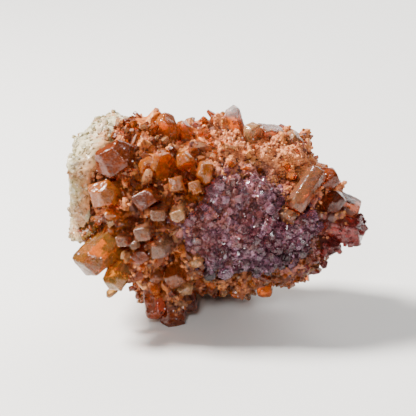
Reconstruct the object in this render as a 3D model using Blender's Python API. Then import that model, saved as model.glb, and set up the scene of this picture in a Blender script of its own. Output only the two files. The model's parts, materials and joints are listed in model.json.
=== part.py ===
"""A creedite cluster: amber crystals and a purple fluorite druse on a rusty crust, grown against pale rock.

The frame: +X to the right and +Z up as the cluster is seen from the front, +Y away from the viewer. The
origin lies on the surface that the cluster stands on, under the middle of its box. Places in the tables are
in millimetres, measured from near that point.
"""

import math
import random
from collections import namedtuple

import bmesh
import bpy
from mathutils import Euler, Matrix, Vector, noise

MM = 0.001

# The space left between a crystal and what it grows from, and between two stones
GAP = 0.3 * MM
STONE_GAP = 0.6 * MM
ROOM_GRAIN = 0.6 * MM
ROOM_FACES = 900

# The block that a crystal is cut from, and the distance at which corners are taken as one
BLANK = 60 * MM
WELD = 0.002 * MM

# How far a crystal strays from its habit: its sides' and facets' angles, its taper and its girth
SIDE_STRAY = 5
FACET_STRAY = 12
MOST_TAPER = 0.07
GIRTH_STRAY = 0.06
# A crystal's girth lies between that of a box and that of an oval, this much of the way to the box
BOX_SHARE = 1 / 3

# The small crystals that are one with the crust or the druse
CRUST_CRYSTALS = 78
DRUSE_CRYSTALS = 20
CRUST_SEED = 11
DRUSE_SEED = 5
SMALL_LENGTH = (2.0 * MM, 3.4 * MM)
SMALL_WIDTH = (1.1 * MM, 2.0 * MM)
SMALL_FLATNESS = (0.7, 1.0)
SMALL_SINK = 1.1 * MM
SMALL_SPACING = 2.4 * MM
SMALL_LEAN = 0.55
CLEAR_OF_LARGE = 0.7 * MM

# Where the small crystals may stand
CRUST_LOWEST = 3 * MM
CRUST_LEFTMOST = -19 * MM
CRUST_REARMOST = 11 * MM
DRUSE_REARMOST = -5 * MM
DRUSE_MARGIN = 0.5

# The sizes of the broad lumps, the ledges and the pits in a stone's surface
BROAD_SIZE = 5.5 * MM
LEDGE_SIZE = 2.6 * MM
PIT_SIZE = 1.7 * MM
PIT_SHIFT = Vector((7, 3, 1))

# A lump of stone: a ball or a slab, where it is, its half sizes and its turn in degrees
Lump = namedtuple("Lump", "form centre radii turn")
# A stone is its lumps run together, at a grain, then made rough. It first has that many faces, and once its
# crystals are on and its sockets are cut it may have up to the limit
Stone = namedtuple("Stone", "finish grain broad fine faces limit lumps")
# A crystal grows from its root to its tip. The roll, in degrees, turns it on its own axis
Crystal = namedtuple("Crystal", "finish root tip width thickness roll habit")
# How a habit is cut: the sides' angles, and for each end facet its tilt, its turn and how far out it starts
Habit = namedtuple("Habit", "sides facets")
Finish = namedtuple("Finish", "colour roughness clear")

FINISHES = {
    "pale_stone": Finish((0.78, 0.74, 0.64), 0.8, 0.0),
    "rusty_crust": Finish((0.55, 0.24, 0.12), 0.85, 0.0),
    "purple_fluorite": Finish((0.40, 0.22, 0.30), 0.35, 0.3),
    "amber": Finish((0.66, 0.27, 0.09), 0.22, 0.6),
    "honey": Finish((0.83, 0.60, 0.26), 0.16, 0.75),
    "brown": Finish((0.42, 0.17, 0.08), 0.25, 0.5),
    "pale": Finish((0.80, 0.74, 0.66), 0.25, 0.5),
    "red": Finish((0.45, 0.12, 0.12), 0.25, 0.5),
}

HABITS = {
    "stub": Habit(
        (90, 270, 32, 148, 212, 328),
        ((14, 60, 0.1), (48, 0, 0.45), (52, 180, 0.5), (50, 260, 0.5)),
    ),
    "block": Habit((0, 90, 180, 270, 45, 225), ((8, 200, 0.0), (50, 20, 0.7), (46, 120, 0.75))),
    "blade": Habit((90, 270, 20, 160, 200, 340), ((38, 0, 0.05), (44, 180, 0.25), (30, 90, 0.5))),
    "wedge": Habit(
        (90, 270, 30, 150, 210, 330),
        ((40, 10, 0.0), (50, 170, 0.0), (36, 90, 0.35), (34, 270, 0.35)),
    ),
    "point": Habit((60, 0, 120, 180, 240, 300), ((52, 30, 0.0), (56, 150, 0.0), (54, 270, 0.0))),
    "chip": Habit((0, 90, 180, 270), ((24, 40, 0.1), (58, 210, 0.4))),
}

HOST_ROCK = Stone(
    finish="pale_stone",
    grain=1.1 * MM,
    broad=0.7 * MM,
    fine=0.7 * MM,
    faces=640,
    limit=850,
    lumps=(
        Lump("slab", (-21.8, 5.0, 21.8), (2.1, 8.6, 7.4), (0, 3, -4)),
        Lump("slab", (-20.1, 6.2, 29.0), (4.6, 7.4, 2.5), (0, -38, -3)),
        Lump("ball", (-16.6, 8.8, 30.2), (5.2, 5.8, 4.0), (0, 0, 0)),
        Lump("ball", (-9.0, 12.6, 20.5), (11.5, 4.6, 9.4), (0, 15, 0)),
        Lump("ball", (4.5, 12.8, 18.0), (11.0, 4.4, 9.8), (0, -12, 0)),
        Lump("ball", (12.0, 10.5, 21.0), (5.5, 5.0, 5.8), (0, 20, 0)),
        Lump("ball", (-3.0, 13.8, 8.0), (12.5, 3.8, 8.5), (0, 0, 0)),
        Lump("slab", (-1.0, 15.0, 3.0), (9.6, 2.2, 4.5), (-2, 0, 2)),
    ),
)

DRUSE = Stone(
    finish="purple_fluorite",
    grain=0.8 * MM,
    broad=0.5 * MM,
    fine=0.5 * MM,
    faces=620,
    limit=1250,
    lumps=(
        Lump("ball", (4.0, -4.4, 19.6), (8.4, 4.0, 7.4), (0, 25, 0)),
        Lump("ball", (-1.8, -7.2, 19.4), (3.6, 2.6, 3.8), (0, 0, 0)),
        Lump("ball", (2.2, -6.6, 24.6), (3.8, 2.8, 3.4), (0, 20, 0)),
        Lump("ball", (7.6, -5.4, 24.2), (4.0, 2.6, 3.2), (0, 30, 0)),
        Lump("ball", (4.2, -8.0, 19.2), (4.8, 2.8, 4.0), (0, 0, 0)),
        Lump("ball", (10.4, -6.6, 19.0), (4.6, 3.0, 4.2), (0, 0, 0)),
        Lump("ball", (0.2, -6.6, 14.8), (4.2, 2.8, 3.2), (0, 0, 0)),
        Lump("ball", (6.2, -6.4, 14.4), (4.6, 2.8, 3.2), (0, 0, 0)),
        Lump("ball", (14.8, -4.2, 18.4), (3.0, 2.8, 3.8), (0, 0, 0)),
        Lump("ball", (11.4, -4.6, 14.2), (3.4, 2.6, 2.8), (0, 0, 0)),
    ),
)

CRUST = Stone(
    finish="rusty_crust",
    grain=1.0 * MM,
    broad=1.0 * MM,
    fine=0.9 * MM,
    faces=1300,
    limit=5700,
    lumps=(
        Lump("ball", (-3.0, 3.0, 19.5), (17.0, 11.0, 12.0), (0, 0, 0)),
        Lump("ball", (-12.5, 3.0, 27.0), (8.5, 7.5, 7.3), (0, 0, 0)),
        Lump("ball", (-14.5, 0.0, 20.5), (6.5, 7.5, 8.0), (0, 0, 0)),
        Lump("ball", (0.0, 4.5, 27.0), (12.5, 7.5, 6.8), (0, 0, 0)),
        Lump("ball", (10.0, 4.5, 26.0), (7.0, 6.5, 6.3), (0, 25, 0)),
        Lump("ball", (16.4, 2.5, 21.0), (5.8, 6.0, 6.2), (0, 30, 0)),
        Lump("ball", (19.8, 1.0, 18.4), (3.4, 4.2, 4.4), (0, 0, 0)),
        Lump("ball", (12.4, 0.5, 14.5), (6.5, 6.5, 6.3), (0, 0, 0)),
        Lump("ball", (-8.8, 0.4, 8.0), (5.2, 4.4, 6.0), (0, 0, 0)),
        Lump("ball", (-13.0, -2.5, 14.5), (5.2, 6.0, 5.2), (0, 0, 0)),
        Lump("ball", (2.0, 5.0, 11.0), (13.5, 8.0, 6.8), (0, 0, 0)),
        Lump("ball", (12.5, 5.0, 12.0), (5.5, 6.0, 6.4), (0, 0, 0)),
        Lump("ball", (0.0, 11.0, 6.2), (11.0, 4.4, 5.2), (0, 0, 0)),
        Lump("ball", (5.0, -2.6, 20.5), (10.0, 6.0, 7.0), (0, 0, 0)),
    ),
)

# Every crystal that stands clear, under the name of its piece. Crystals that overlap share one
CRYSTALS = {
    "honey_crystal_left": [
        Crystal("honey", (-15.6, -2.5, 17.2), (-21.8, -9.6, 13.6), 6.0, 5.0, 25, "stub"),
    ],
    "honey_crystal_low": [
        Crystal("honey", (-14.3, -3.0, 13.6), (-17.0, -9.6, 10.2), 4.2, 3.6, 10, "stub"),
    ],
    "honey_chip_low": [
        Crystal("honey", (-14.4, -2.4, 9.6), (-18.3, -4.9, 6.0), 1.9, 1.4, 40, "point"),
    ],
    "honey_crystal_rind": [
        Crystal("honey", (-19.2, 0.5, 21.5), (-21.4, -4.6, 16.0), 2.8, 2.2, 0, "stub"),
    ],
    "wedge_crystal_top": [
        Crystal("amber", (-7.4, 3.0, 29.5), (-8.4, 1.6, 36.6), 3.5, 2.7, 20, "wedge"),
    ],
    "stub_crystal_top": [
        Crystal("amber", (-4.4, 3.4, 29.6), (-5.4, 2.6, 35.0), 2.7, 2.3, 60, "wedge"),
    ],
    "pale_tip_crystal_top": [
        Crystal("amber", (4.8, 6.2, 29.0), (2.9, 5.6, 36.4), 3.2, 2.6, 15, "stub"),
    ],
    "amber_crystal_top_right": [
        Crystal("amber", (6.8, 4.6, 27.8), (6.2, 3.6, 34.0), 3.2, 2.6, 70, "stub"),
    ],
    "shoulder_crystal": [
        Crystal("amber", (9.4, 6.4, 27.0), (9.6, 5.4, 32.9), 4.6, 3.6, 0, "block"),
    ],
    "pale_crystal_shoulder": [
        Crystal("pale", (10.8, 5.4, 27.4), (14.0, 4.6, 31.9), 3.6, 3.0, 30, "stub"),
    ],
    "brown_crystal_upper": [
        Crystal("brown", (-14.6, 3.0, 27.6), (-17.0, -6.2, 31.6), 6.4, 5.6, 35, "stub"),
    ],
    "brown_crystal_middle": [
        Crystal("amber", (-13.6, 0.6, 23.6), (-19.4, -7.4, 25.0), 5.6, 4.8, 20, "stub"),
    ],
    "blade_crystals": [
        Crystal("amber", (-6.4, -1.0, 25.6), (-9.6, -6.8, 31.6), 4.4, 1.9, 70, "blade"),
        Crystal("amber", (-7.6, -0.6, 25.6), (-12.0, -6.2, 30.4), 3.6, 1.7, 65, "blade"),
    ],
    "yellow_crystal_middle": [
        Crystal("amber", (-3.8, 0.0, 27.0), (-5.2, -6.8, 31.6), 3.2, 2.6, 30, "stub"),
    ],
    "amber_crystal_middle": [
        Crystal("amber", (-1.8, -1.0, 25.8), (-1.6, -8.0, 30.0), 3.9, 3.0, 80, "stub"),
    ],
    "block_crystal_inner_left": [
        Crystal("amber", (-5.6, -3.0, 25.6), (-6.4, -9.4, 27.9), 3.0, 2.7, 10, "block"),
    ],
    "block_crystal_inner_right": [
        Crystal("amber", (-2.6, -3.0, 25.4), (-3.1, -9.4, 27.6), 2.5, 2.5, 15, "block"),
    ],
    "pale_flake_crystal": [
        Crystal("pale", (-12.0, -3.4, 24.6), (-10.8, -8.8, 30.0), 1.9, 1.0, 20, "blade"),
    ],
    "brown_block_crystal": [
        Crystal("brown", (-10.6, -3.0, 24.0), (-11.6, -9.8, 25.4), 4.0, 3.2, 30, "block"),
    ],
    "horn_crystal": [
        Crystal("amber", (-14.4, -3.8, 21.0), (-18.0, -9.2, 22.4), 2.2, 1.7, 0, "point"),
    ],
    "square_crystal": [
        Crystal("brown", (-10.8, -5.0, 19.4), (-12.0, -11.2, 19.8), 2.9, 2.7, 12, "block"),
    ],
    "twin_prism_crystals": [
        Crystal("brown", (-14.0, -4.4, 17.4), (-15.4, -10.3, 18.0), 2.1, 1.8, 0, "block"),
        Crystal("brown", (-12.4, -4.4, 16.8), (-13.2, -10.0, 17.4), 1.9, 1.7, 30, "block"),
    ],
    "lilac_flake_crystal": [
        Crystal("pale", (-13.6, -5.0, 13.4), (-15.2, -10.2, 16.0), 1.9, 0.9, 80, "blade"),
    ],
    "amber_crystal_front": [
        Crystal("amber", (-8.0, -3.6, 16.4), (-9.4, -10.6, 17.0), 4.2, 3.4, 20, "stub"),
    ],
    "brown_face_crystal": [
        Crystal("brown", (-11.0, -3.4, 15.0), (-12.2, -10.2, 15.4), 2.9, 2.6, 40, "block"),
    ],
    "stepped_crystal_low": [
        Crystal("amber", (-5.8, -2.4, 13.0), (-6.8, -8.8, 10.6), 3.3, 2.8, 20, "block"),
    ],
    "amber_crystal_low": [
        Crystal("amber", (-8.8, -2.4, 12.2), (-9.8, -8.2, 10.6), 2.6, 2.2, 60, "stub"),
    ],
    "pale_crystal_low": [
        Crystal("pale", (-2.6, -4.4, 14.6), (-3.2, -9.0, 13.8), 2.4, 1.9, 30, "stub"),
    ],
    "brown_block_middle": [
        Crystal("brown", (-8.4, -4.6, 22.4), (-9.4, -10.6, 22.8), 2.8, 2.4, 0, "block"),
    ],
    "pale_block_middle": [
        Crystal("pale", (-5.6, -4.8, 22.4), (-6.2, -10.4, 22.8), 2.7, 2.0, 20, "block"),
    ],
    "glassy_crystal_right": [
        Crystal("amber", (16.8, -1.4, 27.2), (12.9, -6.9, 22.7), 4.0, 3.2, 30, "stub"),
    ],
    "peach_crystal_right": [
        Crystal("honey", (13.8, -3.2, 23.2), (11.6, -8.6, 21.6), 3.1, 2.2, 0, "stub"),
    ],
    "round_crystal_right": [
        Crystal("amber", (16.4, 1.6, 24.6), (20.0, -1.9, 26.2), 4.0, 3.2, 20, "stub"),
    ],
    "dark_crystal_right": [
        Crystal("brown", (17.4, 0.0, 21.6), (20.9, -4.2, 23.0), 3.6, 2.9, 40, "stub"),
    ],
    "end_crystal_right": [
        Crystal("honey", (18.2, 2.0, 22.2), (24.4, 0.3, 20.0), 3.5, 3.0, 10, "block"),
    ],
    "red_crystal_end": [
        Crystal("red", (18.4, 1.2, 17.4), (24.8, -1.4, 16.6), 5.4, 4.6, 15, "block"),
    ],
    "red_crystal_end_low": [
        Crystal("red", (17.4, 0.6, 15.6), (20.4, -3.4, 14.3), 3.0, 2.6, 30, "stub"),
    ],
    "ledge_crystals_right": [
        Crystal("red", (10.6, -2.6, 15.4), (16.9, -5.0, 16.6), 3.4, 1.6, 88, "blade"),
        Crystal("red", (11.6, -1.6, 13.4), (17.4, -3.8, 14.2), 3.2, 1.4, 84, "blade"),
    ],
    "red_crystal_low": [
        Crystal("red", (11.6, 0.0, 13.0), (15.2, -3.6, 10.4), 3.0, 2.5, 0, "stub"),
    ],
    "foot_crystal_front": [
        Crystal("amber", (-8.0, 1.0, 9.0), (-6.7, -1.7, -0.9), 4.0, 3.6, 5, "stub"),
    ],
    "foot_crystal_left": [
        Crystal("amber", (-10.8, 0.4, 9.0), (-9.9, -2.8, 1.5), 3.8, 3.2, 40, "stub"),
    ],
    "foot_crystal_right": [
        Crystal("brown", (-5.6, 1.6, 8.6), (-4.0, -0.4, 1.9), 3.0, 2.6, 20, "stub"),
    ],
    "foot_crystal_side": [
        Crystal("pale", (-5.6, -0.4, 9.8), (-4.9, -4.4, 6.6), 2.7, 2.2, 20, "stub"),
    ],
    "hanging_crystal_left": [
        Crystal("amber", (3.6, 3.4, 8.2), (4.2, 1.2, 3.6), 3.2, 2.6, 30, "stub"),
    ],
    "hanging_crystal_right": [
        Crystal("amber", (8.0, 4.4, 8.4), (8.8, 2.6, 3.2), 3.0, 2.6, 0, "stub"),
    ],
    "rear_crystal_top": [
        Crystal("amber", (-1.4, 6.6, 28.6), (-2.2, 9.6, 33.4), 3.2, 2.5, 40, "wedge"),
    ],
    "rear_crystal_left": [
        Crystal("amber", (-11.8, 6.4, 28.6), (-13.0, 7.8, 33.4), 3.0, 2.3, 10, "stub"),
    ],
    "rear_crystal_right": [
        Crystal("amber", (14.4, 5.0, 22.4), (18.6, 10.2, 24.2), 3.4, 2.8, 20, "stub"),
    ],
    "rear_crystal_low_right": [
        Crystal("brown", (13.4, 5.0, 15.6), (18.4, 9.4, 13.2), 3.6, 3.0, 50, "stub"),
    ],
}


def crystal_planes(crystal, grow=0.0):
    """The planes that bound a crystal, each as its outward normal and a point on it, moved out by grow."""
    root, tip = Vector(crystal.root) * MM, Vector(crystal.tip) * MM
    axis = (tip - root).normalized()
    level = axis.cross(Vector((0, 0, 1))).normalized()
    across = Matrix.Rotation(math.radians(crystal.roll), 3, axis) @ level
    up = axis.cross(across)
    half_width, half_thickness = crystal.width * MM / 2, crystal.thickness * MM / 2
    stray = random.Random(str(crystal.root))

    def outward(turn):
        return across * math.cos(turn) + up * math.sin(turn)

    def girth(turn):
        box = abs(math.cos(turn)) * half_width + abs(math.sin(turn)) * half_thickness
        oval = math.hypot(math.cos(turn) * half_width, math.sin(turn) * half_thickness)
        return box * BOX_SHARE + oval * (1 - BOX_SHARE)

    planes = [(-axis, root)]
    habit = HABITS[crystal.habit]
    for degrees in habit.sides:
        turn = math.radians(degrees + stray.uniform(-SIDE_STRAY, SIDE_STRAY))
        normal = (outward(turn) + axis * stray.uniform(0, MOST_TAPER)).normalized()
        reach = girth(turn) * stray.uniform(1 - GIRTH_STRAY, 1 + GIRTH_STRAY)
        planes.append((normal, root + outward(turn) * reach))
    for tilt, degrees, share in habit.facets:
        lean = math.radians(tilt + stray.uniform(-SIDE_STRAY, SIDE_STRAY))
        turn = math.radians(degrees + stray.uniform(-FACET_STRAY, FACET_STRAY))
        normal = axis * math.cos(lean) + outward(turn) * math.sin(lean)
        planes.append((normal, tip + outward(turn) * girth(turn) * share))
    return [(normal, point + normal * grow) for normal, point in planes]


def cut_by(bm, point, normal):
    """Cuts off what lies beyond a plane and closes the cut."""
    everything = bm.verts[:] + bm.edges[:] + bm.faces[:]
    bmesh.ops.bisect_plane(bm, geom=everything, plane_co=point, plane_no=normal, clear_outer=True)
    bmesh.ops.holes_fill(bm, edges=[edge for edge in bm.edges if edge.is_boundary])


def crystal_bmesh(crystal, grow=0.0):
    """A crystal, cut flat by each of its planes in turn."""
    middle = (Vector(crystal.root) + Vector(crystal.tip)) / 2 * MM
    bm = bmesh.new()
    bmesh.ops.create_cube(bm, size=BLANK, matrix=Matrix.Translation(middle))
    for normal, point in crystal_planes(crystal, grow):
        cut_by(bm, point, normal)
    bmesh.ops.remove_doubles(bm, verts=bm.verts[:], dist=WELD)
    bmesh.ops.recalc_face_normals(bm, faces=bm.faces[:])
    return bm


def add_object(name, bm, material=None):
    mesh = bpy.data.meshes.new(name)
    bm.to_mesh(mesh)
    bm.free()
    obj = bpy.data.objects.new(name, mesh)
    bpy.context.scene.collection.objects.link(obj)
    if material:
        mesh.materials.append(material)
    return obj


def helper(name, bm):
    """A cutter or a shape to be joined on, which isn't a piece itself."""
    obj = add_object(name, bm)
    obj.hide_render = True
    obj.display_type = "WIRE"
    return obj


def settle(obj):
    """Replaces an object's mesh by the result of its modifiers."""
    graph = bpy.context.evaluated_depsgraph_get()
    mesh = bpy.data.meshes.new_from_object(obj.evaluated_get(graph))
    old = obj.data
    obj.modifiers.clear()
    obj.data = mesh
    bpy.data.meshes.remove(old)


def combine(obj, operation, tools, crossing=False):
    """Joins the tools to an object or cuts them from it."""
    group = bpy.data.collections.new(obj.name + "_tools")
    for tool in tools:
        group.objects.link(tool)
    modifier = obj.modifiers.new(operation.title(), "BOOLEAN")
    modifier.solver = "EXACT"
    modifier.operation = operation
    modifier.operand_type = "COLLECTION"
    modifier.collection = group
    modifier.use_self = crossing
    settle(obj)
    bpy.data.collections.remove(group)


def discard(tools):
    for tool in tools:
        bpy.data.objects.remove(tool)


def bodies_in(bm):
    """The separate bodies in a bmesh, each as its list of faces."""
    left, bodies = set(bm.faces), []
    while left:
        body, reached = [], [left.pop()]
        while reached:
            face = reached.pop()
            body.append(face)
            beside = {other for edge in face.edges for other in edge.link_faces if other in left}
            left -= beside
            reached.extend(beside)
        bodies.append(body)
    return bodies


def sixfold_volume(faces):
    """Six times the volume inside a closed set of triangles."""
    return sum(one.co.dot(two.co.cross(three.co)) for one, two, three in (face.verts for face in faces))


def drop_flaps(bm):
    """Removes pairs of faces that lie back to back on the same corners and hold nothing between them."""
    bm.verts.index_update()
    on_corners = {}
    for face in bm.faces:
        corners = frozenset(vertex.index for vertex in face.verts)
        on_corners.setdefault(corners, []).append(face)
    flaps = [face for faces in on_corners.values() if len(faces) > 1 for face in faces]
    bmesh.ops.delete(bm, geom=flaps, context="FACES")


def keep_largest(obj):
    """Drops the crumbs that a cut leaves beside the main body."""
    bm = bmesh.new()
    bm.from_mesh(obj.data)
    bmesh.ops.remove_doubles(bm, verts=bm.verts[:], dist=WELD)
    bmesh.ops.dissolve_degenerate(bm, edges=bm.edges[:], dist=WELD)
    bmesh.ops.triangulate(bm, faces=bm.faces[:])
    drop_flaps(bm)
    bodies = sorted(bodies_in(bm), key=sixfold_volume)
    for crumb in bodies[:-1]:
        bmesh.ops.delete(bm, geom=crumb, context="FACES")
    bm.to_mesh(obj.data)
    bm.free()


def cut_below_floor(obj):
    """Cuts off flat what reaches below the surface that the cluster stands on."""
    bm = bmesh.new()
    bm.from_mesh(obj.data)
    cut_by(bm, Vector((0, 0, 0)), Vector((0, 0, -1)))
    bm.to_mesh(obj.data)
    bm.free()


def thin_out(obj, limit):
    """Leaves an object about that many triangles, dropping those that change its shape least."""
    obj.data.calc_loop_triangles()
    modifier = obj.modifiers.new("Fewer faces", "DECIMATE")
    modifier.ratio = min(1, limit / len(obj.data.loop_triangles))
    modifier.use_collapse_triangulate = True
    settle(obj)


def lumps_bmesh(lumps):
    bm = bmesh.new()
    for lump in lumps:
        turn = Euler([math.radians(angle) for angle in lump.turn]).to_matrix().to_4x4()
        size = Matrix.Diagonal((*(Vector(lump.radii) * MM), 1))
        place = Matrix.Translation(Vector(lump.centre) * MM) @ turn @ size
        if lump.form == "slab":
            bmesh.ops.create_cube(bm, size=2, matrix=place)
        else:
            bmesh.ops.create_icosphere(bm, subdivisions=4, radius=1, matrix=place)
    return bm


def roughen(obj, broad, fine):
    """Moves a stone's surface in and out: broad swellings, then small ledges and pits."""
    moved = []
    for vertex in obj.data.vertices:
        swelling = noise.noise(vertex.co / BROAD_SIZE) * broad
        ledge = (noise.cell(vertex.co / LEDGE_SIZE) - 0.5) * fine
        pit = noise.noise(vertex.co / PIT_SIZE + PIT_SHIFT) * fine
        moved.append(vertex.co + vertex.normal * (swelling + ledge + pit))
    for vertex, place in zip(obj.data.vertices, moved):
        vertex.co = place


def run_together(obj, grain):
    """Makes one skin of an object's parts, of even faces about as large as the grain."""
    modifier = obj.modifiers.new("Run together", "REMESH")
    modifier.mode = "VOXEL"
    modifier.voxel_size = grain
    settle(obj)


def stone_piece(name, stone, materials):
    """Lumps run together into one rough closed stone."""
    obj = add_object(name, lumps_bmesh(stone.lumps), materials[stone.finish])
    run_together(obj, stone.grain)
    roughen(obj, stone.broad, stone.fine)
    thin_out(obj, stone.faces)
    return obj


def room_round(stone):
    """A cutter that leaves a gap round a stone: its own shape with an even skin, moved out."""
    bm = bmesh.new()
    bm.from_mesh(stone.data)
    room = helper(stone.name + "_room", bm)
    run_together(room, ROOM_GRAIN)
    moved = [vertex.co + vertex.normal * STONE_GAP for vertex in room.data.vertices]
    for vertex, place in zip(room.data.vertices, moved):
        vertex.co = place
    thin_out(room, ROOM_FACES)
    return room


def rooms_round(group):
    """Cutters that leave a gap round each crystal of a group."""
    return [helper("room", crystal_bmesh(crystal, GAP)) for crystal in group]


def is_near(spot, crystal):
    """Whether a spot lies within a crystal's girth or close to it."""
    root, tip = Vector(crystal.root) * MM, Vector(crystal.tip) * MM
    along = tip - root
    share = max(0, min(1, (spot - root).dot(along) / along.length_squared))
    girth = max(crystal.width, crystal.thickness) * MM / 2
    return (spot - root - along * share).length < girth + CLEAR_OF_LARGE


def is_under_druse(spot):
    for lump in DRUSE.lumps:
        offset = spot / MM - Vector(lump.centre)
        if sum((offset[k] / (lump.radii[k] + DRUSE_MARGIN)) ** 2 for k in range(3)) < 1:
            return True
    return False


def on_open_crust(spot):
    """Whether a spot on the crust is away from the rock, the druse and the underside."""
    in_reach = spot.z > CRUST_LOWEST and spot.x > CRUST_LEFTMOST and spot.y < CRUST_REARMOST
    return in_reach and not is_under_druse(spot)


def on_open_druse(spot):
    return spot.y < DRUSE_REARMOST


def small_crystal(spot, out, chance):
    """A small crystal that stands on a stone at a spot, leaning a little to one side."""
    lean = Vector([chance.uniform(-SMALL_LEAN, SMALL_LEAN) for _ in range(3)])
    axis = (out + lean).normalized()
    length, width = chance.uniform(*SMALL_LENGTH), chance.uniform(*SMALL_WIDTH)
    thickness = width * chance.uniform(*SMALL_FLATNESS)
    root = spot - axis * SMALL_SINK
    tip = root + axis * length
    roll = chance.uniform(0, 180)
    return Crystal("", tuple(root / MM), tuple(tip / MM), width / MM, thickness / MM, roll, "chip")


def add_small_crystals(body, count, is_open, seed):
    """Stands small crystals on a stone where no larger one grows, and joins them to it."""
    chance = random.Random(seed)
    large = [crystal for group in CRYSTALS.values() for crystal in group]
    faces = body.data.polygons
    areas = [face.area for face in faces]
    spots, crystals = [], []
    while len(crystals) < count:
        face = chance.choices(faces, areas)[0]
        spot, out = face.center.copy(), face.normal.copy()
        is_crowded = any((spot - other).length < SMALL_SPACING for other in spots)
        if is_crowded or not is_open(spot) or any(is_near(spot, crystal) for crystal in large):
            continue
        spots.append(spot)
        crystals.append(helper("small", crystal_bmesh(small_crystal(spot, out, chance))))
    combine(body, "UNION", crystals, crossing=True)
    discard(crystals)


def cut_sockets(body, stone_rooms, limit):
    """Makes room in a stone for the stones beside it and for every crystal that grows from it."""
    crystal_rooms = [room for group in CRYSTALS.values() for room in rooms_round(group)]
    combine(body, "DIFFERENCE", stone_rooms + crystal_rooms, crossing=True)
    discard(crystal_rooms)
    cut_below_floor(body)
    keep_largest(body)
    thin_out(body, limit)
    keep_largest(body)


def host_rock(materials):
    """The pale rock, and a cutter that makes room for it."""
    rock = stone_piece("host_rock", HOST_ROCK, materials)
    room = room_round(rock)
    cut_sockets(rock, [], HOST_ROCK.limit)
    return rock, room


def fluorite_druse(materials, rock_room):
    """The purple druse, and a cutter that makes room for it."""
    druse = stone_piece("fluorite_druse", DRUSE, materials)
    add_small_crystals(druse, DRUSE_CRYSTALS, on_open_druse, DRUSE_SEED)
    room = room_round(druse)
    cut_sockets(druse, [rock_room], DRUSE.limit)
    return druse, room


def creedite_crust(materials, rock_room, druse_room):
    crust = stone_piece("creedite_crust", CRUST, materials)
    add_small_crystals(crust, CRUST_CRYSTALS, on_open_crust, CRUST_SEED)
    cut_sockets(crust, [rock_room, druse_room], CRUST.limit)
    return crust


def crystal_piece(name, group, materials):
    """One piece: a crystal, or a few that have grown through each other."""
    first, *others = group
    piece = add_object(name, crystal_bmesh(first), materials[first.finish])
    grown_through = [helper(name + "_other", crystal_bmesh(other)) for other in others]
    if grown_through:
        combine(piece, "UNION", grown_through)
        discard(grown_through)
    return piece


def box_of(obj):
    corners = [vertex.co for vertex in obj.data.vertices]
    return [(min(c[k] for c in corners) - GAP, max(c[k] for c in corners) + GAP) for k in range(3)]


def boxes_meet(one, two):
    return all(a[0] < b[1] and b[0] < a[1] for a, b in zip(box_of(one), box_of(two)))


def crystal_pieces(materials):
    """Every crystal. Where two would meet, the later one ends against the earlier one, a gap away."""
    pieces = {}
    for name, group in CRYSTALS.items():
        piece = crystal_piece(name, group, materials)
        rooms = []
        for other in pieces:
            if boxes_meet(piece, pieces[other]):
                rooms += rooms_round(CRYSTALS[other])
        if rooms:
            combine(piece, "DIFFERENCE", rooms)
            discard(rooms)
        keep_largest(piece)
        cut_below_floor(piece)
        pieces[name] = piece
    return list(pieces.values())


def make_material(name, finish):
    material = bpy.data.materials.new(name)
    material.use_nodes = True
    shader = material.node_tree.nodes["Principled BSDF"]
    shader.inputs["Base Color"].default_value = (*finish.colour, 1)
    shader.inputs["Roughness"].default_value = finish.roughness
    shader.inputs["Metallic"].default_value = 0
    shader.inputs["Transmission Weight"].default_value = finish.clear
    return material


def centre_over_origin(objects):
    """Moves the whole cluster sideways, so that the origin is under the middle of its box."""
    corners = [vertex.co for obj in objects for vertex in obj.data.vertices]
    middle = [(min(c[k] for c in corners) + max(c[k] for c in corners)) / 2 for k in range(2)]
    for obj in objects:
        obj.data.transform(Matrix.Translation((-middle[0], -middle[1], 0)))


def main():
    for obj in list(bpy.data.objects):
        bpy.data.objects.remove(obj)
    materials = {name: make_material(name, finish) for name, finish in FINISHES.items()}
    crystals = crystal_pieces(materials)
    rock, rock_room = host_rock(materials)
    druse, druse_room = fluorite_druse(materials, rock_room)
    crust = creedite_crust(materials, rock_room, druse_room)
    discard([rock_room, druse_room])
    centre_over_origin([rock, druse, crust, *crystals])


main()
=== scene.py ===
"""Dresses the creedite cluster: pale host rock, crumbly crust, glittering druse and clear crystals."""

import json
import math

import bpy
import numpy as np
from bpy.props import FloatProperty, FloatVectorProperty, IntProperty, PointerProperty
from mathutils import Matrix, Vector
from mathutils.bvhtree import BVHTree

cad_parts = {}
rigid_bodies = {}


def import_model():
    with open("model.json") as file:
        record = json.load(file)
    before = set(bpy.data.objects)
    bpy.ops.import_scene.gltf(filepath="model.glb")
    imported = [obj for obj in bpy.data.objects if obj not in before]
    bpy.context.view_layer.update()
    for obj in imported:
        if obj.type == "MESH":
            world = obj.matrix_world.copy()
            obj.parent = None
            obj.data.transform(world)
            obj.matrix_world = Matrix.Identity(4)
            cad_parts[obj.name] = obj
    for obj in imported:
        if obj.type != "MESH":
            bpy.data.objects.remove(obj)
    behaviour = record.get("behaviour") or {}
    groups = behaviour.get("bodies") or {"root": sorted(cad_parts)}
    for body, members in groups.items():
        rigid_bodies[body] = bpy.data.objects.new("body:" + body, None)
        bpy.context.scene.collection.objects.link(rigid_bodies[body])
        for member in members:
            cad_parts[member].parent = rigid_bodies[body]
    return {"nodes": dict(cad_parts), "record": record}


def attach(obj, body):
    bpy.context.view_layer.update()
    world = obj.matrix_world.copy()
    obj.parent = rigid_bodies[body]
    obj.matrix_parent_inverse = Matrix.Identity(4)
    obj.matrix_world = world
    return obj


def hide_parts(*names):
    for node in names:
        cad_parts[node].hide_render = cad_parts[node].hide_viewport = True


bl_info = {
    "name": "Creedite cluster",
    "version": (1, 0, 0),
    "blender": (4, 5, 0),
    "location": "View3D > Sidebar > Creedite",
    "description": "Dresses a creedite cluster and lights it on a pale floor",
    "category": "Object",
}

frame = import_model()

MM = 0.001
BODY = "root"

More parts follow.
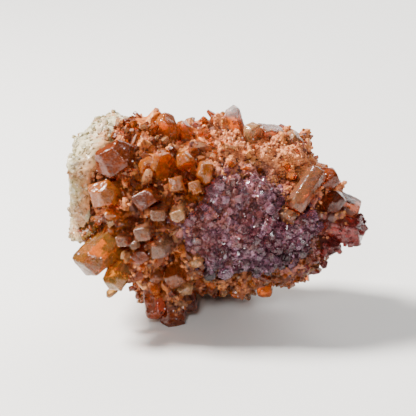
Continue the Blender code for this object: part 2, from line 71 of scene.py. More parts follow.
# The camera: how far it looks down, how far away it stands, how much it frames and what it looks at
ELEVATION = math.radians(20)
CAMERA_DISTANCE = 350 * MM
FRAMED_WIDTH = 70.05 * MM
LOOKED_AT = Vector((-1.5, -3.2, 20.43)) * MM
SENSOR = 36.0

# Where each light stands, its width and its colour
LIT_PLACE = Vector((0, 0, 20)) * MM
LIGHTS = {
    "key": ((-0.22, 0.04, 0.30), 0.1, (1, 0.97, 0.93)),
    "front": ((-0.06, -0.38, 0.24), 0.1, (1, 1, 1)),
    "rim": ((0.16, 0.28, 0.20), 0.36, (1, 1, 1)),
}
SKY_COLOUR = (1, 0.98, 0.95)

NODE_OF_ROCK = "host_rock"
NODE_OF_CRUST = "creedite_crust"
NODE_OF_DRUSE = "fluorite_druse"
STONES = (NODE_OF_ROCK, NODE_OF_CRUST, NODE_OF_DRUSE)
SLOT_OF = {row["node"]: row["material_slot"] for row in frame["record"]["subparts"]}
CRYSTAL_NODES = sorted(name for name in frame["nodes"] if name not in STONES)
PALE_TIPPED_NODE = "pale_tip_crystal_top"

# The crystals whose finish isn't the one that their slot is named after
OTHER_FINISHES = {
    "milky_crystal": (
        "amber_crystal_front",
        "brown_block_middle",
        "end_crystal_right",
        "glassy_crystal_right",
        "peach_crystal_right",
        "shoulder_crystal",
        "square_crystal",
        "twin_prism_crystals",
    ),
    "pale_crystal": ("amber_crystal_top_right", "rear_crystal_left"),
    # As a painted shade, the two foot crystals get the darker brown finish
    "brown_crystal": ("foot_crystal_front", "foot_crystal_left", "round_crystal_right"),
}

# The lightest and the darkest crystals, the tone of each and the tones of the rest
LIGHT_NODES = (
    "amber_crystal_top_right",
    "block_crystal_inner_right",
    "brown_block_middle",
    "honey_crystal_low",
    "lilac_flake_crystal",
    "pale_flake_crystal",
    "rear_crystal_left",
    "stub_crystal_top",
    "twin_prism_crystals",
    "wedge_crystal_top",
    "yellow_crystal_middle",
)
DARK_NODES = (
    "amber_crystal_low",
    "dark_crystal_right",
    "end_crystal_right",
    "foot_crystal_right",
    "honey_crystal_left",
    "red_crystal_end_low",
    "stepped_crystal_low",
)
LIGHT_TONE = 1.0
DARK_TONE = 0.15
LEAST_TONE = 0.4
TONE_SPAN = 0.5
GOLDEN_SHARE = 0.381966

# What light does in the two kinds of crystal
CREEDITE_IOR = 1.47
FLUORITE_IOR = 1.434
SPARK_IOR = 1.5
DRUSE_DENSITY = 500
FINISHES = {
    "amber_crystal": dict(
        deep=(0.22, 0.030, 0.003),
        clear=(0.84, 0.22, 0.015),
        cloudy=(0.62, 0.19, 0.045),
        absorbed=(0.97, 0.35, 0.04),
        density=360,
        transmission=0.76,
    ),
    "honey_crystal": dict(
        deep=(0.42, 0.12, 0.010),
        clear=(0.72, 0.42, 0.09),
        cloudy=(0.58, 0.31, 0.10),
        absorbed=(0.96, 0.60, 0.14),
        density=440,
        transmission=0.82,
    ),
    "brown_crystal": dict(
        deep=(0.07, 0.008, 0.002),
        clear=(0.38, 0.062, 0.006),
        cloudy=(0.21, 0.042, 0.009),
        absorbed=(0.92, 0.30, 0.05),
        density=440,
        transmission=0.68,
    ),
    "pale_crystal": dict(
        deep=(0.36, 0.10, 0.025),
        clear=(0.82, 0.42, 0.17),
        cloudy=(0.72, 0.36, 0.19),
        absorbed=(0.97, 0.60, 0.32),
        density=340,
        transmission=0.72,
    ),
    "milky_crystal": dict(
        deep=(0.15, 0.035, 0.015),
        clear=(0.60, 0.24, 0.10),
        cloudy=(0.46, 0.20, 0.13),
        absorbed=(0.93, 0.46, 0.25),
        density=420,
        transmission=0.80,
    ),
    "red_crystal": dict(
        deep=(0.06, 0.006, 0.006),
        clear=(0.27, 0.026, 0.018),
        cloudy=(0.26, 0.06, 0.06),
        absorbed=(0.90, 0.20, 0.15),
        density=360,
        transmission=0.6,
    ),
}

# What tells a small crystal's face from the rough stone round it
FLAT = math.radians(0.3)
SOCKET_REACH = 0.7 * MM
FACES_OF_CRYSTAL = 4
FACET_REACH = 0.1 * MM
FACETS_END = -3 * MM

# How far a mark on a piece reaches from the stone or crystal that it begins at
ROOT_REACH = 1.3 * MM
TIP_REACH = 2.2 * MM
STAIN_REACH = 5 * MM
MAUVE_REACH = 4.5 * MM
RIM_REACH = 3 * MM

# Places along an axis where a mark begins and where it is full
ROCK_FOOT = (20 * MM, 4 * MM)
ROCK_FRONT = (-6 * MM, -2 * MM)
ROCK_TOP = (24 * MM, 28 * MM)
# The crust, its crumbs and the crumbs at the crystals' roots get a painted shade, darker towards the
# floor, between these heights
PAINTED_SHADE_FOOT = (13 * MM, 6 * MM)
CROWD_ACROSS = (1 * MM, -4 * MM)
CROWD_BELOW = (13 * MM, 9 * MM)
RED_ACROSS = (12 * MM, 18 * MM)
RED_BELOW = (24 * MM, 18 * MM)

# Room that scattered shapes are given above the floor
CRUMB_ROOM = 0.8 * MM
GRAIN_ROOM = 1 * MM
GROWTH_ROOM = 2 * MM
CRYSTAL_ROOM = 3 * MM

# How closely a crystal's lines run across it and along it
LINES_ACROSS = 3.2
LINES_ALONG = 0.55


def a_colour(name, description, default):
    return FloatVectorProperty(
        name=name, description=description, default=default, size=3, min=0, max=1, subtype="COLOR"
    )


def a_length(name, description, default):
    return FloatProperty(name=name, description=description, default=default, min=0, unit="LENGTH")


def a_power(name, description, default):
    return FloatProperty(name=name, description=description, default=default, min=0, unit="POWER")


class RockSettings(bpy.types.PropertyGroup):
    grain: a_length("Grain", "Size of the rock's even faces", 0.4 * MM)
    lumps: a_length("Lumps", "Height of the broken lumps", 1.3 * MM)
    sugar: a_length("Sugar", "Height of the sugary grains", 0.35 * MM)
    spacing: a_length("Spacing", "Least distance between two grains", 1.0 * MM)
    smallest: a_length("Smallest", "Size of the smallest grains", 0.3 * MM)
    largest: a_length("Largest", "Size of the largest grains", 1.3 * MM)
    light: a_colour("Light", "Colour of the clean rock", (0.42, 0.335, 0.17))
    pale: a_colour("Pale", "Colour of the rock's palest patches", (0.62, 0.55, 0.37))
    dark: a_colour("Dark", "Colour of the rock's greenish patches", (0.27, 0.235, 0.095))
    hollow_tint: a_colour("Dirt", "Colour of the rock's hollows", (0.44, 0.30, 0.14))
    # A painted glint: the colour of some of the rock's grains
    painted_grain_glint: a_colour("Glint", "Colour of the rock's bright grains", (0.84, 0.80, 0.66))
    stain: a_colour("Stain", "Colour of the rust beside the crust", (0.44, 0.145, 0.038))


class CrustSettings(bpy.types.PropertyGroup):
    grain: a_length("Grain", "Size of the crust's even faces", 0.33 * MM)
    lumps: a_length("Lumps", "Height of the broad lumps", 1.1 * MM)
    crumbs: a_length("Crumbs", "Height of the crumbly cells", 0.5 * MM)
    # Peach is the palest crust and crumbs, and as a painted highlight it lightens the crests
    peach_and_painted_highlight: a_colour("Peach", "Colour of the palest crust", (0.74, 0.27, 0.10))
    rust: a_colour("Rust", "Colour of most of the crust", (0.44, 0.105, 0.022))
    # Wine is the crust's dark patches, and as a painted shade it darkens the crevices
    wine_and_painted_shade: a_colour("Wine", "Colour of the crust's crevices", (0.055, 0.010, 0.006))
    mauve: a_colour("Mauve", "Colour of the crust beside the druse", (0.22, 0.07, 0.085))
    # A painted shade: the colour that darkens the crust towards the floor
    painted_floor_shade: a_colour("Shade", "Colour of the crust near the floor", (0.16, 0.04, 0.02))
    umber: a_colour("Umber", "Colour of the darkest crumbs", (0.17, 0.032, 0.010))
    ochre: a_colour("Ochre", "Colour of the yellow patches of crumbs", (0.52, 0.19, 0.028))
    brick: a_colour("Brick", "Colour of the red patches of crumbs", (0.26, 0.05, 0.022))
    deep_amber: a_colour("Deep amber", "Darkest colour of the crust's crystals", (0.15, 0.026, 0.006))
    amber: a_colour("Amber", "Colour of most of the crust's crystals", (0.48, 0.12, 0.018))
    pale_amber: a_colour("Pale amber", "Palest colour of the crust's crystals", (0.68, 0.28, 0.09))


class GrainSettings(bpy.types.PropertyGroup):
    spacing: a_length("Spacing", "Least distance between two crumbs", 0.5 * MM)
    smallest: a_length("Smallest", "Size of the smallest crumbs", 0.3 * MM)
    largest: a_length("Largest", "Size of the largest crumbs", 1.15 * MM)
    seed: IntProperty(name="Seed", description="Which scatter of crumbs is used", default=3)


class DruseSettings(bpy.types.PropertyGroup):
    grain: a_length("Grain", "Size of the druse's even faces", 0.3 * MM)
    knobs: a_length("Knobs", "Height of the rounded knobs", 0.9 * MM)
    spacing: a_length("Spacing", "Least distance between two druse crystals", 0.66 * MM)
    smallest: a_length("Smallest", "Size of the smallest druse crystals", 0.35 * MM)
    largest: a_length("Largest", "Size of the largest druse crystals", 1.45 * MM)
    lump_spacing: a_length("Lump spacing", "Least distance between two clear lumps", 2.7 * MM)
    small_lump: a_length("Small lump", "Size of the smallest clear lumps", 1.3 * MM)
    lump: a_length("Lump", "Size of the largest clear lumps", 2.8 * MM)
    mauve: a_colour("Mauve", "Colour of most of the druse", (0.165, 0.037, 0.060))
    rose: a_colour("Rose", "Colour of the druse's rusty side", (0.32, 0.10, 0.08))
    rust: a_colour("Rust", "Colour of the druse's rusty patches", (0.25, 0.07, 0.04))
    # Plum is dark patches on the blocks, and a painted shade in the hollows and at the bottom
    plum_and_painted_shade: a_colour("Plum", "Colour of the druse's hollows", (0.035, 0.008, 0.012))
    # Glitter is a lilac haze in patches, and a painted glint on bright faces and a few blocks
    lilac_haze_and_painted_glint: a_colour("Glitter", "Colour of the druse's bright faces", (0.50, 0.27, 0.39))
    pale: a_colour("Pale", "Colour of the palest lumps", (0.42, 0.22, 0.24))
    absorbed: a_colour("Absorbed", "Colour of the light that goes through", (0.75, 0.30, 0.50))
    # The sparks' near-white colours are a painted glint
    painted_lilac_glint: a_colour("Lilac spark", "Colour of the dimmer sparks", (0.80, 0.66, 0.76))
    painted_white_glint: a_colour("White spark", "Colour of the brighter sparks", (0.92, 0.90, 0.92))


class CrystalSettings(bpy.types.PropertyGroup):
    edge: a_length("Edge", "Width of the worn edges", 0.18 * MM)
    skin: a_length("Skin", "Size of a large crystal's even faces", 0.2 * MM)
    thinned: FloatProperty(
        name="Thinned",
        description="Share of a large crystal's faces that is kept",
        default=0.33,
        min=0.1,
        max=1,
    )
    waves: a_length("Waves", "Height of the waves on a large crystal's faces", 0.3 * MM)
    small_spacing: a_length("Small spacing", "Least distance between small crystals", 1.05 * MM)
    small_smallest: a_length("Small, least", "Length of the shortest small crystals", 1.0 * MM)
    small_largest: a_length("Small, most", "Length of the longest small crystals", 3.2 * MM)
    tip: a_colour("Tip", "Colour of the pale tip", (0.95, 0.88, 0.84))
    root: a_colour("Root", "Colour of the rust at the roots", (0.24, 0.06, 0.02))


class StageSettings(bpy.types.PropertyGroup):
    floor_size: a_length("Floor", "Width of the floor", 3.0)
    floor: a_colour("Floor colour", "Colour of the floor", (0.80, 0.79, 0.77))
    key: a_power("Key light", "Power of the key light", 5.9)
    front: a_power("Front light", "Power of the front light", 1.15)
    rim: a_power("Rim light", "Power of the light behind", 1.6)
    sky: FloatProperty(
        name="Sky", description="Brightness of the light from all round", default=0.16, min=0
    )


def only(*pieces):
    """Selects just these pieces, the first of them active."""
    bpy.ops.object.select_all(action="DESELECT")
    for piece in pieces:
        piece.select_set(True)
    bpy.context.view_layer.objects.active = pieces[0]


def in_edit_mode(piece, mode="VERT"):
    only(piece)
    bpy.ops.object.mode_set(mode="EDIT")
    bpy.ops.mesh.select_mode(type=mode)
    bpy.ops.mesh.select_all(action="SELECT")


def out_of_edit_mode():
    bpy.ops.object.mode_set(mode="OBJECT")


def apply_modifier(piece, kind, **values):
    modifier = piece.modifiers.new(kind.title(), kind)
    for key, value in values.items():
        setattr(modifier, key, value)
    only(piece)
    bpy.ops.object.modifier_apply(modifier=modifier.name)


def in_scene(name, mesh):
    """A new object of that mesh, in the scene."""
    piece = bpy.data.objects.new(name, mesh)
    bpy.context.scene.collection.objects.link(piece)
    return piece


def copy_of(node, name):
    """A merged copy of a CAD node, with no material yet."""
    piece = in_scene(name, frame["nodes"][node].data.copy())
    piece.data.materials.clear()
    in_edit_mode(piece)
    bpy.ops.mesh.remove_doubles(threshold=0.01 * MM)
    out_of_edit_mode()
    return piece


def hand_over(piece, material, slot, *nodes):
    """Gives a piece its material and sets it on the cluster in place of its nodes; the slot is not used.
    """
    piece.data.materials.clear()
    piece.data.materials.append(material)
    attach(piece, BODY)
    if nodes:
        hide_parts(*nodes)


def surface_of(names):
    """The surface of some CAD nodes, to measure distances from."""
    corners, faces = [], []
    for name in names:
        mesh = frame["nodes"][name].data
        start = len(corners)
        corners += [vertex.co.copy() for vertex in mesh.vertices]
        faces += [tuple(start + k for k in polygon.vertices) for polygon in mesh.polygons]
    return BVHTree.FromPolygons(corners, faces)


def corners_of(piece):
    """The places of a piece's corners, one row each."""
    places = np.empty(len(piece.data.vertices) * 3)
    piece.data.vertices.foreach_get("co", places)
    return places.reshape(-1, 3)


def mark(piece, attribute, values):
    """Writes one number on each corner of a piece."""
    found = piece.data.attributes.get(attribute)
    if found is None:
        found = piece.data.attributes.new(attribute, "FLOAT", "POINT")
    numbers = np.full(len(piece.data.vertices), values, dtype=np.float32)
    found.data.foreach_set("value", numbers)


def marked(piece, attribute):
    """The numbers on a piece's corners."""
    values = np.empty(len(piece.data.vertices))
    piece.data.attributes[attribute].data.foreach_get("value", values)
    return values


def gap_to(piece, surface, reach):
    """Each corner's distance from a surface, and the reach where it is further."""
    gaps = []
    for vertex in piece.data.vertices:
        distance = surface.find_nearest(vertex.co, reach)[3]
        gaps.append(reach if distance is None else distance)
    return np.array(gaps)


def nearness(piece, surface, reach):
    """1 where a piece touches the surface, falling to 0 at the reach."""
    return 1 - gap_to(piece, surface, reach) / reach


def apart_from(piece, nodes, reach):
    """True on the corners that are at least the reach away from some CAD nodes."""
    return gap_to(piece, surface_of(nodes), reach) >= reach


def ramp(values, start, end):
    """0 before the start, 1 past the end and even in between."""
    return np.clip((values - start) / (end - start), 0, 1)


def finish_of(node):
    """The name of a crystal's finish: that of its slot, or a milkier, paler or browner one."""
    for finish, nodes in OTHER_FINISHES.items():
        if node in nodes:
            return finish
    return SLOT_OF[node]


def tone_of(node, number):
    """How light a crystal is, from 0 for the darkest to 1."""
    if node in LIGHT_NODES:
        return LIGHT_TONE
    if node in DARK_NODES:
        return DARK_TONE
    return LEAST_TONE + TONE_SPAN * ((number * GOLDEN_SHARE) % 1)


def top_of(piece, reach):
    """1 near a piece's highest corner, falling to 0 at the reach below it."""
    heights = corners_of(piece)[:, 2]
    return ramp(heights, heights.max() - reach, heights.max() - 0.6 * reach)


def polygons_beside(mesh):
    """For each polygon, the polygons that share an edge with it."""
    by_edge = {}
    for polygon in mesh.polygons:
        for edge in polygon.edge_keys:
            by_edge.setdefault(edge, []).append(polygon.index)
    beside = [set() for _ in mesh.polygons]
    for pair in by_edge.values():
        for one in pair:
            beside[one].update(other for other in pair if other != one)
    return beside


def connected(members, beside):
    """Splits polygons into groups that hang together."""
    left, groups = set(members), []
    while left:
        queue = [left.pop()]
        group = []
        while queue:
            one = queue.pop()
            group.append(one)
            queue.extend(beside[one] & left)
            left -= beside[one]
        groups.append(group)
    return groups


def small_crystal_faces(node, others):
    """The surface of the small crystals that a stone's CAD node has: flat faces that hang together."""
    piece = copy_of(node, "flat_" + node)
    in_edit_mode(piece, "FACE")
    bpy.ops.mesh.dissolve_limited(angle_limit=FLAT)
    out_of_edit_mode()
    mesh = piece.data
    walls = surface_of(others)
    flat = [
        polygon.index
        for polygon in mesh.polygons
        if len(polygon.vertices) > 3 and walls.find_nearest(polygon.center, SOCKET_REACH)[0] is None
    ]
    groups = connected(flat, polygons_beside(mesh))
    faces = [
        tuple(mesh.polygons[index].vertices)
        for group in groups
        if len(group) >= FACES_OF_CRYSTAL
        for index in group
    ]
    surface = BVHTree.FromPolygons([vertex.co.copy() for vertex in mesh.vertices], faces)
    bpy.data.objects.remove(piece)
    return surface


def pattern(name, kind, size, **values):
    """A pattern that a Displace modifier reads, with features of that size."""
    texture = bpy.data.textures.new(name, kind)
    texture.noise_scale = size
    for key, value in values.items():
        setattr(texture, key, value)
    return texture


def displace(piece, texture, height, middle=0.5, kept=""):
    """Moves a piece's skin by a pattern, except where the kept vertex group is."""
    apply_modifier(
        piece,
        "DISPLACE",
        texture=texture,
        texture_coords="LOCAL",
        strength=height,
        mid_level=middle,
        vertex_group=kept,
        invert_vertex_group=bool(kept),
    )


def group_corners(piece, name, chosen):
    """A vertex group of the chosen corners."""
    group = piece.vertex_groups.new(name=name)
    group.add([int(index) for index in np.nonzero(chosen)[0]], 1, "REPLACE")


def even_skin(piece, grain):
    apply_modifier(piece, "REMESH", mode="VOXEL", voxel_size=grain, use_smooth_shade=True)


def cut_at_floor(piece):
    """Cuts a piece off flat where its skin reaches below the floor."""
    if corners_of(piece)[:, 2].min() >= 0:
        return
    in_edit_mode(piece)
    bpy.ops.mesh.bisect(
        plane_co=(0, 0, 0), plane_no=(0, 0, 1), use_fill=True, clear_inner=True, threshold=0.001 * MM
    )
    out_of_edit_mode()


def clear_of_floor(piece, size):
    """1 on corners that shapes of that size can stand on without reaching the floor."""
    return ramp(corners_of(piece)[:, 2], size, 1.3 * size)


def join_pieces(*names):
    """Makes the others part of the first piece."""
    only(*(bpy.data.objects[name] for name in names))
    bpy.ops.object.join()


def feed(tree, node, inputs):
    """Sets a node's inputs to values, or links them from other sockets."""
    for key, value in inputs.items():
        socket = node.inputs[key]
        if isinstance(value, bpy.types.NodeSocket):
            tree.links.new(value, socket)
        elif socket.type == "RGBA":
            socket.default_value = (*value, 1)
        else:
            socket.default_value = value


def add_node(tree, kind, inputs=None, **settings):
    node = tree.nodes.new(kind)
    for key, value in settings.items():
        setattr(node, key, value)
    feed(tree, node, inputs or {})
    return node


def group_node(tree, name, inputs):
    group = bpy.data.node_groups[name]
    return add_node(tree, "ShaderNodeGroup", inputs, node_tree=group).outputs


def attribute_value(tree, name):
    return add_node(tree, "ShaderNodeAttribute", attribute_name=name).outputs["Fac"]


def calculate(tree, operation, one, two):
    return add_node(tree, "ShaderNodeMath", {0: one, 1: two}, operation=operation).outputs[0]


def times(tree, one, two):
    return calculate(tree, "MULTIPLY", one, two)


def plus(tree, one, two):
    return calculate(tree, "ADD", one, two)


def whole_plus(tree, one, two):
    return add_node(tree, "FunctionNodeIntegerMath", {0: one, 1: two}, operation="ADD").outputs[0]


def vector_math(tree, operation, inputs):
    return add_node(tree, "ShaderNodeVectorMath", inputs, operation=operation).outputs[0]


def remap(tree, value, low, high, to_low=0.0, to_high=1.0):
    """A value stretched so that low and high become the two ends, smoothly in between."""
    inputs = {"Value": value, "From Min": low, "From Max": high, "To Min": to_low, "To Max": to_high}
    return add_node(tree, "ShaderNodeMapRange", inputs, interpolation_type="SMOOTHSTEP").outputs[0]


def mix_colours(tree, factor, one, two):
    return add_node(tree, "ShaderNodeMix", {0: factor, 6: one, 7: two}, data_type="RGBA").outputs[2]


def tint(tree, colour, added, mask, share):
    """A colour with another one mixed in by a share of a mask."""
    return mix_colours(tree, times(tree, mask, share), colour, added)


def patch(tree, colour, added, values, start, end, share=1.0):
    """A colour with another one mixed in where the values go from the start to the end."""
    return mix_colours(tree, remap(tree, values, start, end, 0, share), colour, added)


def noise(tree, position, scale, detail, distortion=0.0):
    """Soft patches: numbers round 0.5."""
    inputs = {"Vector": position, "Scale": scale, "Detail": detail, "Distortion": distortion}
    return add_node(tree, "ShaderNodeTexNoise", inputs).outputs[0]


def cells(tree, position, scale, **settings):
    """A pattern of cells, with the distances in them and a colour for each."""
    inputs = {"Vector": position, "Scale": scale}
    return add_node(tree, "ShaderNodeTexVoronoi", inputs, **settings).outputs


def warped(tree, position, scale, reach):
    """A position pushed about by noise, up to the reach, so that straight patterns run unevenly."""
    inputs = {"Vector": position, "Scale": scale, "Detail": 3}
    push = add_node(tree, "ShaderNodeTexNoise", inputs).outputs["Color"]
    centred = vector_math(tree, "SUBTRACT", {0: push, 1: (0.5, 0.5, 0.5)})
    scaled = vector_math(tree, "SCALE", {0: centred, "Scale": reach})
    return vector_math(tree, "ADD", {0: position, 1: scaled})


def new_group(name, kind, inputs, outputs):
    """A node group with named sockets, what it is given and the node that takes its result."""
    tree = bpy.data.node_groups.new(name, kind)
    for in_out, sockets in (("INPUT", inputs), ("OUTPUT", outputs)):
        for label, socket in sockets.items():
            tree.interface.new_socket(label, in_out=in_out, socket_type="NodeSocket" + socket)
    return tree, tree.nodes.new("NodeGroupInput").outputs, tree.nodes.new("NodeGroupOutput")


def make_mottle_group():
    """Three colours run into each other in patches of two sizes."""
    tree, given, result = new_group(
        "Mottle",
        "ShaderNodeTree",
        {"Position": "Vector", "Patches": "Float", "Dark": "Color", "Middle": "Color", "Light": "Color"},
        {"Colour": "Color"},
    )
    broad = noise(tree, given["Position"], given["Patches"], detail=3)
    fine = noise(tree, given["Position"], times(tree, given["Patches"], 5.3), detail=4)
    light = patch(tree, given["Middle"], given["Light"], broad, 0.40, 0.62)
    dark = remap(tree, fine, 0.34, 0.52, 0.75, 0)
    feed(tree, result, {"Colour": mix_colours(tree, dark, light, given["Dark"])})


def make_grit_group():
    """The height of fine broken grains, for a Bump node, and a mask of some of their faces, which are
    glossier and, on the rock and the druse, get a painted glint.
    """
    tree, given, result = new_group(
        "Grit",
        "ShaderNodeTree",
        {"Position": "Vector", "Grains": "Float"},
        {"Height": "Float", "Face": "Float"},
    )
    colour = cells(tree, given["Position"], given["Grains"])["Color"]
    tone = add_node(tree, "ShaderNodeSeparateColor", {"Color": colour}).outputs
    rough = noise(tree, given["Position"], times(tree, given["Grains"], 0.6), detail=5)
    height = plus(tree, times(tree, tone[0], 0.6), rough)
    feed(tree, result, {"Height": height, "Face": remap(tree, tone[1], 0.72, 0.9)})


def make_hollows_group():
    """A mask of the hollows that the surface's own curvature shows, and one of its crests."""
    tree, given, result = new_group(
        "Hollows",
        "ShaderNodeTree",
        {"Pointiness": "Float", "Reach": "Float"},
        {"Hollow": "Float", "Crest": "Float"},
    )
    low = calculate(tree, "SUBTRACT", 0.5, given["Reach"])
    high = plus(tree, 0.5, given["Reach"])
    hollow = remap(tree, given["Pointiness"], low, 0.5, 1, 0)
    crest = remap(tree, given["Pointiness"], 0.5, high)
    feed(tree, result, {"Hollow": hollow, "Crest": crest})


def mottled(tree, position, patches, dark, middle, light):
    inputs = {"Position": position, "Patches": patches, "Dark": dark, "Middle": middle, "Light": light}
    return group_node(tree, "Mottle", inputs)["Colour"]


def grit_of(tree, position, grains):
    return group_node(tree, "Grit", {"Position": position, "Grains": grains})


def hollows_of(tree, reach):
    point = add_node(tree, "ShaderNodeNewGeometry").outputs["Pointiness"]
    return group_node(tree, "Hollows", {"Pointiness": point, "Reach": reach})


def start_material(name):
    """A material, its node tree, its Principled BSDF and the position on the piece."""
    material = bpy.data.materials.new(name)
    material.use_nodes = True
    tree = material.node_tree
    position = add_node(tree, "ShaderNodeTexCoord").outputs["Object"]
    return material, tree, tree.nodes["Principled BSDF"], position


def add_bump(tree, shader, height, distance, strength=1.0):
    inputs = {"Height": height, "Distance": distance, "Strength": strength}
    feed(tree, shader, {"Normal": add_node(tree, "ShaderNodeBump", inputs).outputs["Normal"]})


def add_absorption(tree, colour, density):
    volume = add_node(tree, "ShaderNodeVolumeAbsorption", {"Color": colour, "Density": density})
    feed(tree, tree.nodes["Material Output"], {"Volume": volume.outputs[0]})


def rock_material(name, settings, clear):
    """Pale rock with greenish patches, browner hollows, a painted glint on some grains and rusty veins.
    """
    material, tree, shader, position = start_material(name)
    grit = grit_of(tree, position, 2300)
    broad = noise(tree, position, 95, detail=5)
    patches = noise(tree, position, 380, detail=4)
    colour = mottled(tree, position, 150, settings.dark, settings.light, settings.pale)
    colour = patch(tree, colour, settings.dark, broad, 0.44, 0.64, share=0.6)
    colour = tint(tree, colour, settings.hollow_tint, hollows_of(tree, 0.05)["Hollow"], share=0.4)
    # Painted glint on some grains
    colour = tint(tree, colour, settings.painted_grain_glint, grit["Face"], share=0.45)
    rusty = plus(tree, patches, calculate(tree, "SUBTRACT", broad, 0.5))
    stain = times(tree, attribute_value(tree, "stain"), remap(tree, rusty, 0.30, 0.6))
    bent = warped(tree, position, 300, 2.2 * MM)
    edges = cells(tree, bent, 120, feature="DISTANCE_TO_EDGE")["Distance"]
    vein = times(tree, remap(tree, edges, 0.07, 0.0), remap(tree, patches, 0.42, 0.55))
    stain = calculate(tree, "MAXIMUM", stain, times(tree, vein, 0.7))
    colour = mix_colours(tree, stain, colour, settings.stain)
    rough = remap(tree, grit["Face"], 0, 1, 0.62, 0.16)
    feed(tree, shader, {"Base Color": colour, "Roughness": rough, "Transmission Weight": clear})
    steps = cells(tree, warped(tree, position, 500, 1.5 * MM), 620)["Distance"]
    add_bump(tree, shader, plus(tree, grit["Height"], times(tree, steps, 1.6)), 0.16 * MM)
    return material


def crust_colour(tree, position, settings, painted_crest_highlight):
    """The crust's mottled colour, with painted shade in its hollows and near the floor, a painted
    highlight on its crests, and mauve beside the druse.
    """
    hollows = hollows_of(tree, 0.07)
    uneven = remap(tree, noise(tree, position, 300, detail=3), 0.3, 0.55)
    colour = mottled(tree, position, 230, settings.wine_and_painted_shade, settings.rust, settings.peach_and_painted_highlight)
    # Painted highlight: the crests lightened towards peach
    colour = tint(tree, colour, settings.peach_and_painted_highlight, hollows["Crest"], share=painted_crest_highlight)
    colour = tint(tree, colour, settings.mauve, attribute_value(tree, "mauve"), share=uneven)
    # Painted shade: darker towards the floor
    colour = tint(tree, colour, settings.painted_floor_shade, attribute_value(tree, "low"), share=0.6)
    # Painted shade: the crevices darkened towards wine
    return tint(tree, colour, settings.wine_and_painted_shade, hollows["Hollow"], share=0.9)


def crust_material(settings):
    """Crumbly crust, and on its small crystals glossy amber."""
    material, tree, shader, position = start_material("rusty crust")
    facet = attribute_value(tree, "facet")
    grit = grit_of(tree, position, 3600)
    crust = crust_colour(tree, position, settings, 0.5)
    amber = mottled(tree, position, 330, settings.deep_amber, settings.amber, settings.pale_amber)
    loose = remap(tree, grit["Face"], 0, 1, 0.85, 0.45)
    rough = times(tree, loose, remap(tree, facet, 0, 1, 1, 0.28))
    feed(tree, shader, {"Base Color": mix_colours(tree, facet, crust, amber), "Roughness": rough})
    height = times(tree, grit["Height"], remap(tree, facet, 0, 1, 1, 0.2))
    add_bump(tree, shader, height, 0.15 * MM)
    return material


def crumb_material(settings):
    """Crumbs of many tones, in ochre and brick-red patches."""
    material, tree, shader, position = start_material("loose crumbs")
    tone = attribute_value(tree, "tone")
    grit = grit_of(tree, position, 4200)
    patches = noise(tree, position, 420, detail=4)
    colour = crust_colour(tree, position, settings, 0.8)
    colour = patch(tree, colour, settings.peach_and_painted_highlight, tone, 0.7, 1, share=0.7)
    colour = patch(tree, colour, settings.umber, tone, 0.42, 0, share=0.85)
    colour = patch(tree, colour, settings.ochre, patches, 0.5, 0.6, share=0.65)
    colour = patch(tree, colour, settings.brick, patches, 0.44, 0.34, share=0.7)
    rough = remap(tree, grit["Face"], 0, 1, 0.8, 0.3)
    feed(tree, shader, {"Base Color": colour, "Roughness": rough})
    add_bump(tree, shader, grit["Height"], 0.1 * MM)
    return material


def druse_colour(tree, position, settings):
    """The druse's colour: rusty rose at the upper left, mauve in the middle, and a painted shade in plum
    at the bottom.
    """
    place = add_node(tree, "ShaderNodeSeparateXYZ", {"Vector": position}).outputs
    centred = calculate(tree, "SUBTRACT", noise(tree, position, 260, detail=4), 0.5)
    up = plus(tree, place["Z"], times(tree, centred, 14 * MM))
    left = calculate(tree, "SUBTRACT", up, times(tree, place["X"], 0.7))
    rust = noise(tree, position, 330, detail=3)
    haze = noise(tree, position, 170, detail=2)
    colour = patch(tree, settings.mauve, settings.rose, left, 13 * MM, 23 * MM)
    colour = patch(tree, colour, settings.rust, rust, 0.5, 0.62, share=0.7)
    colour = patch(tree, colour, settings.lilac_haze_and_painted_glint, haze, 0.46, 0.64, share=0.42)
    # Painted shade: plum towards the bottom
    return patch(tree, colour, settings.plum_and_painted_shade, up, 19 * MM, 8 * MM, share=0.92)


def druse_material(settings):
    """The druse's knobs, with a painted glint on some faces and a painted shade in the hollows."""
    material, tree, shader, position = start_material("purple druse")
    grit = grit_of(tree, position, 2600)
    colour = druse_colour(tree, position, settings)
    # Painted shade: the hollows darkened towards plum
    colour = tint(tree, colour, settings.plum_and_painted_shade, hollows_of(tree, 0.07)["Hollow"], share=0.8)
    # Painted glint on some faces
    colour = tint(tree, colour, settings.lilac_haze_and_painted_glint, grit["Face"], share=0.6)
    rough = remap(tree, grit["Face"], 0, 1, 0.4, 0.08)
    feed(tree, shader, {"Base Color": colour, "Roughness": rough, "IOR": FLUORITE_IOR})
    add_bump(tree, shader, grit["Height"], 0.14 * MM)
    return material


def druse_block_material(name, settings, paleness, clear):
    """See-through blocks, some of them pale, a few with a painted glint."""
    material, tree, shader, position = start_material(name)
    height = add_node(tree, "ShaderNodeSeparateXYZ", {"Vector": position}).outputs["Z"]
    fine = noise(tree, position, 1500, detail=4)
    colour = druse_colour(tree, position, settings)
    colour = patch(tree, colour, settings.pale, height, 11 * MM, 19 * MM, share=paleness)
    # Painted glint on the blocks of highest tone
    colour = patch(tree, colour, settings.lilac_haze_and_painted_glint, attribute_value(tree, "tone"), 0.65, 1, share=0.6)
    colour = patch(tree, colour, settings.plum_and_painted_shade, fine, 0.55, 0.3, share=0.6)
    rough = remap(tree, fine, 0.35, 0.65, 0.05, 0.3)
    feed(tree, shader, {"Base Color": colour, "Roughness": rough})
    feed(tree, shader, {"IOR": FLUORITE_IOR, "Transmission Weight": clear})
    add_bump(tree, shader, fine, 0.06 * MM)
    add_absorption(tree, settings.absorbed, DRUSE_DENSITY)
    return material


